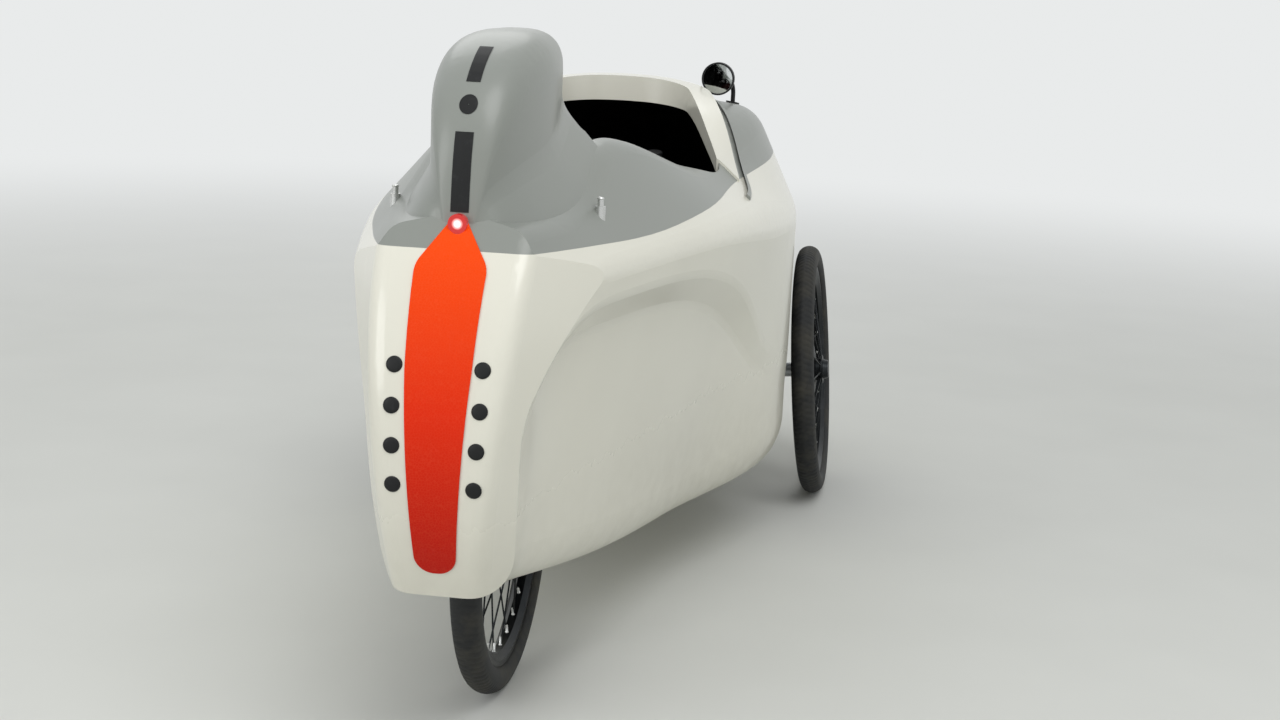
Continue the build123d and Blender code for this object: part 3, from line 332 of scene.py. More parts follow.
@dataclass(frozen=True)
class LitLens(Finish):
    """Red polycarbonate lens with one lit diode behind it: a pale pink centre in a red disc. The
    glow starts and is full at two shares of the radius."""

    centre: Point
    radius: float
    rim: str = "C8140C"
    heart: str = "FFE4E0"
    strength: float = 1.5
    glow_shares: Pair = (0.62, 0.18)

    def surface(self, tree: Tree, place: Socket) -> dict:
        """The glow falls with the distance from the lens's middle, seen along X."""
        ray = add_node(tree, "VectorMath", {0: place, 1: self.centre}, {"operation": "SUBTRACT"})
        flat = add_node(tree, "VectorMath", {0: ray, 1: (0, 1, 1)}, MULTIPLY)
        away = add_node(tree, "VectorMath", {0: flat}, {"operation": "LENGTH"}, "Value")
        start, full = self.glow_shares
        glow = add_node(tree, "MapRange", {
            "Value": away, "From Min": self.radius * start, "From Max": self.radius * full})
        colour = add_node(tree, "Mix", {0: glow, MIX_A: self.rim, MIX_B: self.heart}, RGBA, MIX_OUT)
        light = add_node(tree, "MapRange", {"Value": glow, "To Min": 0.25, "To Max": self.strength})
        rough = speckled(tree, place, 4, 2.0, (0.3, 0.7), (0.1, 0.2))
        return {"Base Color": colour, "Emission Color": colour, "Emission Strength": light,
                "Roughness": rough, "Coat Weight": 0.5, "IOR": 1.58}


@dataclass(frozen=True)
class Rubber(Finish):
    """Vulcanised rubber: nearly black, dull, with grey dust in its pores."""

    colour: str = "17191A"
    dust: str = "5C584C"
    dust_share: float = 0.4
    roughness: float = 0.72
    grain_mm: float = 1.6

    def surface(self, tree: Tree, place: Socket) -> dict:
        """Patches of dust over the plain colour, and a fine grain."""
        film = speckled(tree, place, 45, 5.0, (0.42, 0.75), (0.0, self.dust_share), 0.6)
        grain = add_node(tree, "TexNoise", {
            "Vector": place, "Detail": 4.0, "Scale": 1 / (self.grain_mm * MM)})
        return {**soiled(tree, film, (self.colour, self.dust), (self.roughness, 1.0)),
                "Relief": (grain, 0.12, 0.6)}


@dataclass(frozen=True)
class BrushedMetal(Finish):
    """Machined and brushed metal: bright, with fine lines from the belt and darker stains."""

    colour: str = "B4B7B9"
    stain: str = "6F6C66"
    roughness: float = 0.34
    metallic: float = 1.0
    line_mm: float = 1.2

    def surface(self, tree: Tree, place: Socket) -> dict:
        """Noise drawn out along Y makes the lines of the belt."""
        long_lines = add_node(tree, "Mapping", {"Vector": place, "Scale": (1, 0.12, 1)})
        lines = add_node(tree, "TexNoise", {
            "Vector": long_lines, "Detail": 3.0, "Scale": 1 / (self.line_mm * MM)})
        stains = speckled(tree, place, 35, 4.0, (0.5, 0.8), (0.0, 0.5), 0.6)
        colour = add_node(tree, "Mix", {0: stains, MIX_A: self.colour, MIX_B: self.stain}, RGBA, MIX_OUT)
        rough = add_node(tree, "MapRange", {
            "Value": lines, "From Min": 0.3, "From Max": 0.7, "To Min": self.roughness - 0.06,
            "To Max": self.roughness + 0.08})
        return {"Base Color": colour, "Metallic": self.metallic, "Roughness": rough,
                "Relief": (lines, 0.05, 0.5)}


@dataclass(frozen=True)
class MouldedPlastic(Finish):
    """Moulded or powder-coated surface: even colour with a fine spark-eroded grain and paler
    scuffs."""

    colour: str
    scuff: str
    roughness: float = 0.45
    scuff_share: float = 0.4
    scuff_roughness: float = 0.15
    grain_mm: float = 0.9

    def surface(self, tree: Tree, place: Socket) -> dict:
        """Thin scuffs over the plain colour, and a fine grain."""
        scuffs = speckled(tree, place, 14, 6.0, (0.56, 0.8), (0.0, self.scuff_share), 0.7)
        grain = add_node(tree, "TexNoise", {"Vector": place, "Scale": 1 / (self.grain_mm * MM)})
        return {**soiled(tree, scuffs, (self.colour, self.scuff),
                         (self.roughness, self.roughness + self.scuff_roughness),
                         self.scuff_share),
                "Relief": (grain, 0.06, 0.5), "Specular IOR Level": 0.3}


@dataclass(frozen=True)
class SpacerMesh(Finish):
    """Knitted spacer fabric on open foam: dark yarn in small round cells, 7 mm apart, which is
    about twice the real spacing, so that they show."""

    colour: str = "1B1C1F"
    yarn: str = "3C3E43"
    cell_mm: float = 7.0

    def surface(self, tree: Tree, place: Socket) -> dict:
        """Dark holes in paler yarn, which is fuzzy and faded in places."""
        cells = add_node(tree, "TexVoronoi", {
            "Vector": place, "Randomness": 0.25, "Scale": 1 / (self.cell_mm * MM)}, output="Distance")
        hole = add_node(tree, "MapRange", {"Value": cells, "From Min": 0.18, "From Max": 0.42})
        share = hole
        for size_mm, detail, least in ((1.6, 4.0, 0.55), (120, 3.0, 0.7)):
            faded = speckled(tree, place, size_mm, detail, (0.3, 0.7), (least, 1.0))
            share = add_node(tree, "Math", {0: share, 1: faded}, MULTIPLY)
        colour = add_node(tree, "Mix", {0: share, MIX_A: self.colour, MIX_B: self.yarn}, RGBA, MIX_OUT)
        rough = add_node(tree, "MapRange", {"Value": hole, "To Min": 0.95, "To Max": 0.8})
        return {"Base Color": colour, "Roughness": rough, "Relief": (hole, 1.2, 0.8),
                "Sheen Weight": 0.35}


@dataclass(frozen=True)
class SilveredGlass(Finish):
    """Mirror glass: silver behind clear glass, with a little dust."""

    colour: str = "DDE1E0"
    dust: str = "8F8D84"
    dust_share: float = 0.25

    def surface(self, tree: Tree, place: Socket) -> dict:
        """Specks of dust that dull the silver."""
        film = speckled(tree, place, 6, 5.0, (0.55, 0.85), (0.0, self.dust_share), 0.7)
        return {**soiled(tree, film, (self.colour, self.dust), (0.02, 0.2), self.dust_share),
                "Metallic": 1.0}


def linked(name: str, data: bpy.types.ID) -> Piece:
    """Make an object from a mesh, a light or a camera, and link it to the scene.

    Args:
        name: the object's name.
        data: what it shows.

    Returns:
        The new object.
    """
    piece = bpy.data.objects.new(name, data)
    bpy.context.scene.collection.objects.link(piece)
    return piece


def solid_mesh(name: str, points: np.ndarray, faces: list) -> Piece:
    """Make a smooth-shaded object from points and faces of any number of corners.

    Args:
        name: the object's name.
        points: an array of count x 3, in metres.
        faces: lists of point numbers.

    Returns:
        The new object, linked to the scene.
    """
    mesh = bpy.data.meshes.new(name)
    mesh.from_pydata(points.tolist(), [], faces)
    mesh.polygons.foreach_set("use_smooth", np.ones(len(mesh.polygons), bool))
    mesh.update()
    return linked(name, mesh)


def vectors(items: bpy.types.bpy_prop_collection, name: str) -> np.ndarray:
    """Read one vector of each vertex or face of a mesh.

    Args:
        items: the mesh's vertices or polygons.
        name: the vector, such as co, center or normal.

    Returns:
        An array of count x 3.
    """
    values = np.empty(len(items) * 3)
    items.foreach_get(name, values)
    return values.reshape(-1, 3)


def full_turn(count: int) -> np.ndarray:
    """Angles that divide a full turn into equal parts."""
    return np.linspace(0, 2 * np.pi, count, endpoint=False)


def circle(radius: float | np.ndarray, angle: np.ndarray) -> np.ndarray:
    """Points of circles round the origin, as (r cos a, r sin a)."""
    return np.stack([radius * np.cos(angle), radius * np.sin(angle)], -1)


def grid_faces(rows: int, columns: int, closed_rows: bool = False,
               closed_columns: bool = False, capped: bool = False) -> list:
    """Faces between the neighbours of a grid of points.

    Args:
        rows: rows of the grid.
        columns: columns of the grid.
        closed_rows: join the last row to the first.
        closed_columns: join the last column to the first.
        capped: close the first and the last row with one face each.

    Returns:
        Lists of point numbers, with quads first.
    """
    index = np.arange(rows * columns).reshape(rows, columns)
    caps = [index[0][::-1].tolist(), index[-1].tolist()] if capped else []
    if closed_rows:
        index = np.vstack([index, index[:1]])
    if closed_columns:
        index = np.hstack([index, index[:, :1]])
    quads = np.stack([index[:-1, :-1], index[:-1, 1:], index[1:, 1:], index[1:, :-1]], -1)
    return quads.reshape(-1, 4).tolist() + caps


def place_along(point: Vector, direction: Vector, axis: str = "Z") -> Matrix:
    """A place with one of its local axes along a direction.

    Args:
        point: the origin of the place.
        direction: the way that the local axis goes.
        axis: the local axis, Z or -Z.

    Returns:
        The matrix of the place.
    """
    turn = direction.to_track_quat(axis, "Y").to_matrix().to_4x4()
    return Matrix.Translation(point) @ turn


def moved(points: np.ndarray, place: Matrix) -> np.ndarray:
    """Points, as count x 3, taken from a place's local axes to the frame's axes."""
    return points @ np.array(place.to_3x3()).T + np.array(place.translation)


def turned(profile: Pairs | list, place: Matrix, count: int, ring: bool = False) -> Solid:
    """A turned solid: x = r cos a, y = r sin a, z = h for each point of its profile.

    Args:
        profile: (radius, height) from the foot to the top, in metres.
        place: where the local Z axis goes.
        count: points round the axis.
        ring: join the profile's end to its start, where the first and the last point are
            otherwise each closed with a face.

    Returns:
        Its points and its faces.
    """
    radius, height = np.array(profile, float).T[:, :, None]
    points = np.dstack([circle(radius, full_turn(count)), np.repeat(height, count, axis=1)])
    faces = grid_faces(len(profile), count, ring, True, capped=not ring)
    return moved(points.reshape(-1, 3), place), faces


def joined(name: str, solids: list[Solid]) -> Piece:
    """Make one object from several solids.

    Args:
        name: the name of the object.
        solids: points and faces of each solid.

    Returns:
        The new object.
    """
    faces, start = [], 0
    for points, own in solids:
        faces += [[number + start for number in face] for face in own]
        start += len(points)
    return solid_mesh(name, np.vstack([points for points, _ in solids]), faces)


@dataclass
class Finishes:
    """All materials of the vehicle, by the record's slot."""

    lamp_radius: float = 0.012
    made: dict[str, bpy.types.Material] = field(default_factory=dict)

    def build(self) -> None:
        """Make every material."""
        low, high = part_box("tail_lamp")
        kinds = {
            "shell_white": Gelcoat("white_gelcoat", "E9E7DA"),
            "shell_grey": Gelcoat("silver_grey_gelcoat", "8B8F8A", dust_share=0.2,
                                  roughness=0.36, coat=0.1),
            "inner_laminate": WovenLaminate("woven_laminate"),
            "red_strip": ReflectiveFilm("red_reflective_film"),
            "lamp_red": LitLens("lit_red_lens", tuple((low + high) / 2), self.lamp_radius),
            "tyre_rubber": Rubber("tyre_rubber"),
            "wheel_alloy": BrushedMetal("black_anodised_alloy", "25282A", "4A4C4E", 0.38, 0.9),
            "frame_alloy": BrushedMetal("brushed_alloy"),
            "steel": BrushedMetal("bright_steel", "D4D5D3", "8A867E", 0.3),
            "chain_steel": BrushedMetal("oiled_chain_steel", "6B665E", "2B2722", 0.36),
            "strut_black": MouldedPlastic("black_powder_coat", "121314", "3A3B3C", 0.42),
            "black_plastic": MouldedPlastic("black_moulded_plastic", "151617", "3D3E3F", 0.5),
            "grip_rubber": Rubber("grip_rubber", "141516", "3A3835", 0.3, 0.7, 2.2),
            "seat_laminate": WovenLaminate("seat_laminate", "131415", "2E3133"),
            "seat_fabric": SpacerMesh("black_spacer_mesh"),
            "mirror_glass": SilveredGlass("silvered_glass"),
        }
        self.made = {slot: kind.make() for slot, kind in kinds.items()}

    def dress_nodes(self, frame: dict) -> None:
        """Give every CAD node the material of its slot.
        """
        for part in frame["record"]["subparts"]:
            node = frame["nodes"][part["node"]]
            node.data.materials.clear()
            node.data.materials.append(self.made[part["material_slot"]])


@dataclass
class Assembly:
    frame: dict
    finishes: Finishes

    def dress(self, piece: Piece, slot: str, body: str = "body") -> Piece:
        """Give a piece the material of its slot and its body, and report it.

        Args:
            piece: the object.
            slot: the record's material slot.
            body: the CAD body that it rides on.

        Returns:
            The same object.
        """
        piece.data.materials.append(self.finishes.made[slot])
        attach(piece, body)
        LOG.info("%s rides on %s", piece.name, body)
        return piece


@dataclass
class Shell(Assembly):
    """Hull and deck: glossy outside, bare laminate inside, dark marks on the hump's ridge."""

    axis_z: float = 0.45
    axis_half_length: float = 0.95
    behind_x: float = -1.4
    mark_lift: float = 0.0006
    bars: tuple[tuple[str, float, float, float], ...] = (
        ("hump_bar_lower", 0.023, 0.717, 0.813),
        ("hump_bar_upper", 0.018, 0.871, 0.911))
    bar_grid: tuple[int, int] = (9, 40)
    dot: Pair = (0.845, 0.0115)
    dot_hole: float = 0.0005
    dot_grid: tuple[int, int] = (49, 8)

    def line_inside(self) -> None:
        """Put the bare laminate on the faces of hull and deck that look inwards.

        A face looks inwards where its normal points towards the body's middle line, which runs
        from the stern to the nose at one height.
        """
        for name in ("hull", "deck"):
            mesh = self.frame["nodes"][name].data
            centre = vectors(mesh.polygons, "center")
            middle = np.zeros_like(centre)
            middle[:, 0] = np.clip(centre[:, 0], -self.axis_half_length, self.axis_half_length)
            middle[:, 2] = self.axis_z
            inwards = ((centre - middle) * vectors(mesh.polygons, "normal")).sum(1) < 0
            mesh.materials.append(self.finishes.made["inner_laminate"])
            mesh.polygons.foreach_set("material_index", inwards.astype(np.int32))
            mesh.update()

    def mark(self, name: str, side: np.ndarray, height: np.ndarray, surface: BVHTree) -> None:
        """Lay a thin film on the hump's back.

        Each point of the grid is cast forwards along X onto the surface, then lifted by the
        film's thickness along the surface's own normal.

        Args:
            name: the piece's name.
            side: the grid's places along Y.
            height: the grid's places along Z.
            surface: the deck's tree of faces.
        """
        points = np.zeros((*side.shape, 3))
        for row, column in np.ndindex(*side.shape):
            start = Vector((self.behind_x, side[row, column], height[row, column]))
            hit, normal, _, _ = surface.ray_cast(start, FORWARD)
            points[row, column] = hit + normal * self.mark_lift
        piece = solid_mesh(name, points.reshape(-1, 3), grid_faces(*side.shape))
        self.dress(piece, "black_plastic")

    def build(self) -> None:
        """Dress the shell and lay the two bars and the dot on the ridge of the hump."""
        self.line_inside()
        graph = bpy.context.evaluated_depsgraph_get()
        surface = BVHTree.FromObject(self.frame["nodes"]["deck"], graph)
        across, up = self.bar_grid
        for name, width, bottom, top in self.bars:
            side, height = np.meshgrid(np.linspace(width / 2, -width / 2, across),
                                       np.linspace(bottom, top, up))
            self.mark(name, side, height, surface)
        dot_z, dot_radius = self.dot
        around, rings = self.dot_grid
        turn, away = np.meshgrid(np.linspace(0, -2 * np.pi, around),
                                 np.linspace(self.dot_hole, dot_radius, rings))
        self.mark("hump_dot", away * np.sin(turn), dot_z + away * np.cos(turn), surface)


@dataclass
class SternVents(Assembly):
    """Black rubber plugs in the eight round holes, 18 mm across, beside the red strip."""

    holes: Pairs = ((0.398, 0.050), (0.446, 0.052), (0.494, 0.054), (0.542, 0.054))
    plug: Pairs = (
        (0.0004, -0.005), (0.0081, -0.005), (0.0081, -0.0005), (0.01008, 0.0),
        (0.01008, 0.0008), (0.00855, 0.0016), (0.0045, 0.0021), (0.0004, 0.0022))
    stern_x: float = -1.1885
    arc_radius: float = 0.430
    arc_z: float = 0.430

    def build(self) -> None:
        """Make the plugs, each square to the arc that the stern follows seen from the side. A
        hole is given as (height, distance from the middle)."""
        plugs = []
        for height, half in self.holes:
            rise = (height - self.arc_z) / self.arc_radius
            back = math.sqrt(1 - rise ** 2)
            x = self.stern_x + self.arc_radius * (1 - back)
            for side in Side:
                place = place_along(Vector((x, side.value * half, height)), Vector((-back, 0, rise)))
                plugs.append(turned(self.plug, place, count=24))
        self.dress(joined("stern_vent_plugs", plugs), "black_plastic")


@dataclass
class RoadWheel(Assembly):
    """A bicycle wheel's tyre with its tread, in place of the plain CAD tyre, and its fittings.

    The angles are measured round the tyre's section from its outermost line. Beside a smooth
    band, the tread has slanted gaps between its blocks and one groove on each side.
    """

    place_word: str
    body: str
    lean: float = 0.0
    radius: float = 0.245
    section: float = 0.022
    rim_radius: float = 0.206
    rim_inner: float = 0.188
    around: int = 780
    across: int = 36
    blocks: int = 130
    block_half_share: float = 0.36
    tread_depth: float = 0.0011
    tread_angle: float = 0.95
    band_angle: float = 0.12
    groove_angle: float = 0.28
    groove_half_angle: float = 0.05
    side_step: float = 0.0006
    spokes: int = 28
    nipple: Pairs = ((0.0016, 0.0), (0.0019, 0.001), (0.0019, 0.011), (0.0027, 0.0115),
                     (0.0027, 0.0135))
    valve: Pairs = ((0.0022, 0.0), (0.0036, 0.002), (0.0036, 0.013), (0.0028, 0.014),
                    (0.0028, 0.034), (0.0048, 0.0345), (0.0048, 0.0375))
    sunk: float = 0.0005

    def tyre(self) -> Solid:
        """Work out the tyre's surface.

        The section is an open circle from one edge of the rim to the other: at angle s from the
        outermost point, r = R - t + (t - d) cos s and y = (t - d) sin s, with the depth d of the
        gaps and grooves.

        Returns:
            Points with the wheel's axis along Z, and faces.
        """
        middle = self.radius - self.section
        bead = math.acos((self.rim_radius - middle) / self.section)
        turn, across = np.meshgrid(full_turn(self.around), np.linspace(-bead, bead, self.across))
        off = np.abs(across)
        slant = 0.5 * off / self.tread_angle + 0.5 * (across > 0)
        phase = (turn * self.blocks / (2 * np.pi) + slant) % 1
        gap = np.abs(phase - 0.5) > self.block_half_share
        groove = np.abs(off - self.groove_angle) < self.groove_half_angle
        tread = off < self.tread_angle
        cut = tread & (gap | groove) & (off > self.band_angle)
        depth = np.where(cut, self.tread_depth, 0.0)
        reach = self.section - depth - np.where(tread, 0.0, self.side_step)
        radial = middle + reach * np.cos(across)
        points = np.dstack([circle(radial, turn), reach * np.sin(across)])
        faces = [face[::-1] for face in grid_faces(self.across, self.around, True, True)]
        return points.reshape(-1, 3), faces

    def fittings(self, centre: Vector, axis: Vector) -> list[Solid]:
        """Spoke nipples inside the rim, and the tube's valve between two of them.

        Args:
            centre: the wheel's middle.
            axis: the wheel's axis.

        Returns:
            The solids.
        """
        upright = axis.cross(FORWARD)
        places = [(number, self.nipple, 8) for number in range(self.spokes)]
        solids = []
        for number, profile, corners in places + [(0.5, self.valve, 14)]:
            turn = 2 * math.pi * number / self.spokes
            outward = FORWARD * math.cos(turn) + upright * math.sin(turn)
            foot = centre + outward * (self.rim_inner + self.sunk - profile[-1][1])
            solids.append(turned(profile, place_along(foot, outward), corners))
        return solids

    def build(self) -> None:
        """Make the tyre and the fittings."""
        node = "tyre_" + self.place_word
        low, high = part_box(node)
        centre = (low + high) / 2
        axis = Vector((0, math.cos(self.lean), math.sin(self.lean)))
        points, faces = self.tyre()
        tyre = solid_mesh("tread_" + node, moved(points, place_along(centre, axis)), faces)
        self.dress(tyre, "tyre_rubber", self.body)
        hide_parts(node)
        self.dress(joined("nipples_and_valve_" + self.place_word, self.fittings(centre, axis)),
                   "steel", self.body)


@dataclass
class Chain(Assembly):
    """The roller chain, link by link, in place of the plain CAD loop.

    The wheels are (x, z, pitch radius) in the order in which the chain meets them; the chain
    bends the other way round a wheel whose radius is negative.
    """

    wheels: tuple[Point, ...] = (
        (0.735, 0.415, 0.098), (0.0, 0.195, -0.028), (-0.785, 0.245, 0.034),
        (0.1, 0.16, 0.02))
    chain_y: float = -0.048
    pitch: float = 0.0127
    steps: int = 60
    plate_half_height: float = 0.004
    plate_waist: float = 0.7
    plate_thickness: float = 0.001
    plate_offsets: Pair = (0.0021, 0.0033)
    roller_radius: float = 0.0038
    roller_corners: int = 8

    def route(self) -> np.ndarray:
        """Points of the closed line, one per link.

        Between two wheels the line is their common tangent: it leaves each at the normal n that
        satisfies n . d = (r1 - r2) for the vector d between the centres. Round a wheel it is an
        arc. The line is then divided into a whole number of equal links.

        Returns:
            An array of count x 2, as x and z.
        """
        centre = np.array([wheel[:2] for wheel in self.wheels])
        radius = np.array([wheel[2] for wheel in self.wheels])
        gap = np.roll(centre, -1, axis=0) - centre
        length = np.hypot(*gap.T)[:, None]
        unit = gap / length
        lean = np.arcsin((radius - np.roll(radius, -1))[:, None] / length)
        normal = np.cos(lean) * unit[:, ::-1] * [1, -1] + np.sin(lean) * unit
        leave = centre + radius[:, None] * normal
        arrive = np.roll(centre, -1, axis=0) + np.roll(radius, -1)[:, None] * normal
        parts = []
        for number, size in enumerate(radius):
            before = arrive[number - 1] - centre[number]
            after = leave[number] - centre[number]
            start = math.atan2(before[1], before[0])
            swing = (math.atan2(after[1], after[0]) - start) % (2 * math.pi)
            swing -= 2 * math.pi * (size < 0)
            turn = np.linspace(start, start + swing, self.steps)
            parts.append(centre[number] + circle(abs(size), turn))
            parts.append(np.linspace(leave[number], arrive[number], self.steps)[1:-1])
        line = np.vstack(parts + [parts[0][:1]])
        run = np.concatenate([[0], np.cumsum(np.hypot(*np.diff(line, axis=0).T))])
        count = 2 * round(run[-1] / self.pitch / 2)
        steps = np.linspace(0, run[-1], count, endpoint=False)
        return np.stack([np.interp(steps, run, line[:, axis]) for axis in (0, 1)], -1)

    def plate_outline(self) -> np.ndarray:
        """A plate seen from the side, from its first joint: two round ends and a waist."""
        end = circle(self.plate_half_height, np.linspace(-np.pi / 2, np.pi / 2, 5))
        waist = np.array([[self.pitch / 2, self.plate_half_height * self.plate_waist]])
        return np.vstack([end + [self.pitch, 0], waist, -end, -waist * [-1, 1]])

    def build(self) -> None:
        """Make the links: inner and outer plates in turn, with a roller at each joint."""
        start = self.route()
        along = np.roll(start, -1, axis=0) - start
        along /= np.hypot(*along.T)[:, None]
        across = along[:, ::-1] * [-1, 1]
        outline = self.plate_outline()
        ring = circle(self.roller_radius, full_turn(self.roller_corners))
        half = self.plate_thickness / 2
        solids = []
        for number in range(len(start)):
            offset = self.plate_offsets[number % 2]
            shapes = [(outline, offset - half, offset + half),
                      (outline, -offset - half, -offset + half),
                      (ring, -self.plate_offsets[0], self.plate_offsets[0])]
            for shape, y_from, y_to in shapes:
                flat = start[number] + shape[:, :1] * along[number] + shape[:, 1:] * across[number]
                layers = [np.insert(flat, 1, self.chain_y + y, axis=1) for y in (y_to, y_from)]
                faces = grid_faces(2, len(shape), closed_columns=True, capped=True)
                solids.append((np.vstack(layers), faces))
        LOG.info("chain of %d links", len(start))
        piece = self.dress(joined("roller_chain", solids), "chain_steel")
        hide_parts("chain")


@dataclass
class Controls(Assembly):
    """Ribbed rubber grips, closed at the top, in place of the plain CAD grips.

    A collar's points are (radius, distance from the grip's end).
    """

    grip_y: float = 0.070
    foot: Pair = (0.0587, 0.602)
    head: Pair = (0.0467, 0.695)
    radius: float = 0.015
    foot_collar: Pairs = ((0.013, 0.0), (0.015, 0.001), (0.015, 0.005))
    head_collar: Pairs = ((0.015, 0.007), (0.015, 0.002), (0.013, 0.0003), (0.0005, 0.0))
    smooth_ends: Pair = (0.006, 0.008)
    ribs: int = 22
    rib_depth: float = 0.0007
    waist_depth: float = 0.0008

    def build(self) -> None:
        """Make the grips: the radius swings by the ribs' depth along the grip, which is thinner
        towards its ends, and the ends are rounded into collars."""
        grips = []
        for side in Side:
            foot, head = (Vector((x, side.value * self.grip_y, z)) for x, z in (self.foot, self.head))
            length = (head - foot).length
            height = np.linspace(self.smooth_ends[0], length - self.smooth_ends[1],
                                 self.ribs * 6 + 1)
            share = (height - height[0]) / (height[-1] - height[0])
            radius = (self.radius - self.rib_depth * (1 - np.cos(2 * np.pi * self.ribs * share))
                      - self.waist_depth * (1 - np.sin(np.pi * share)))
            profile = list(self.foot_collar) + list(zip(radius, height))
            profile += [(size, length - depth) for size, depth in self.head_collar]
            grips.append(turned(profile, place_along(foot, head - foot), count=36))
        piece = self.dress(joined("ribbed_grips", grips), "grip_rubber", "tiller")
        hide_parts("tiller_grips")


@dataclass
class Mirrors(Assembly):
    """Domed backs and round bezels for the two mirrors."""

    back: Pairs = (
        (0.0288, -0.001), (0.0290, 0.0), (0.0284, 0.0028), (0.0262, 0.0060), (0.0222, 0.0088),
        (0.0160, 0.0108), (0.0082, 0.0119), (0.0005, 0.0122))
    back_ahead: float = 0.014
    bezel_radius: float = 0.0276
    tube_radius: float = 0.0016
    tube_corners: int = 12
    bezel_behind: float = 0.0005

    def build(self) -> None:
        """Make a dome ahead of each housing and a ring round its glass.

        The ring is a torus: r = R + t cos b and h = t sin b for the angle b round its tube.
        """
        profile = circle(self.tube_radius, full_turn(self.tube_corners)) + [self.bezel_radius, 0]
        for side in Side:
            low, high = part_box("mirror_glass_" + side.word)
            middle = (low + high) / 2
            rear_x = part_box("mirror_" + side.word)[0][0]
            back = Vector((rear_x + self.back_ahead, middle[1], middle[2]))
            face = Vector((low[0] - self.bezel_behind, middle[1], middle[2]))
            dome = turned(self.back, place_along(back, FORWARD), count=48)
            bezel = turned(profile.tolist(), place_along(face, FORWARD), count=48, ring=True)
            piece = joined(f"mirror_back_and_bezel_{side.word}", [dome, bezel])
            self.dress(piece, "black_plastic")


@dataclass
class HoodStuds(Assembly):
    """Small domed heads on the four studs, which stand at (x, distance from the middle)."""

    places: Pairs = ((-0.886, 0.138), (0.560, 0.150))
    search_radius: float = 0.02
    head: Pairs = ((0.00384, -0.0012), (0.0048, -0.0006), (0.0048, 0.0004),
                   (0.004128, 0.0014), (0.0024, 0.0020), (0.0003, 0.0022))

    def build(self) -> None:
        """Set a head on top of each stud, at the height where the CAD stud ends."""
        points = vectors(self.frame["nodes"]["hood_studs"].data.vertices, "co")
        heads = []
        for x, half in self.places:
            for side in Side:
                y = side.value * half
                near = np.hypot(points[:, 0] - x, points[:, 1] - y) < self.search_radius
                top = Vector((x, y, points[near, 2].max()))
                heads.append(turned(self.head, place_along(top, Vector((0, 0, 1))), count=28))
        self.dress(joined("stud_heads", heads), "steel")


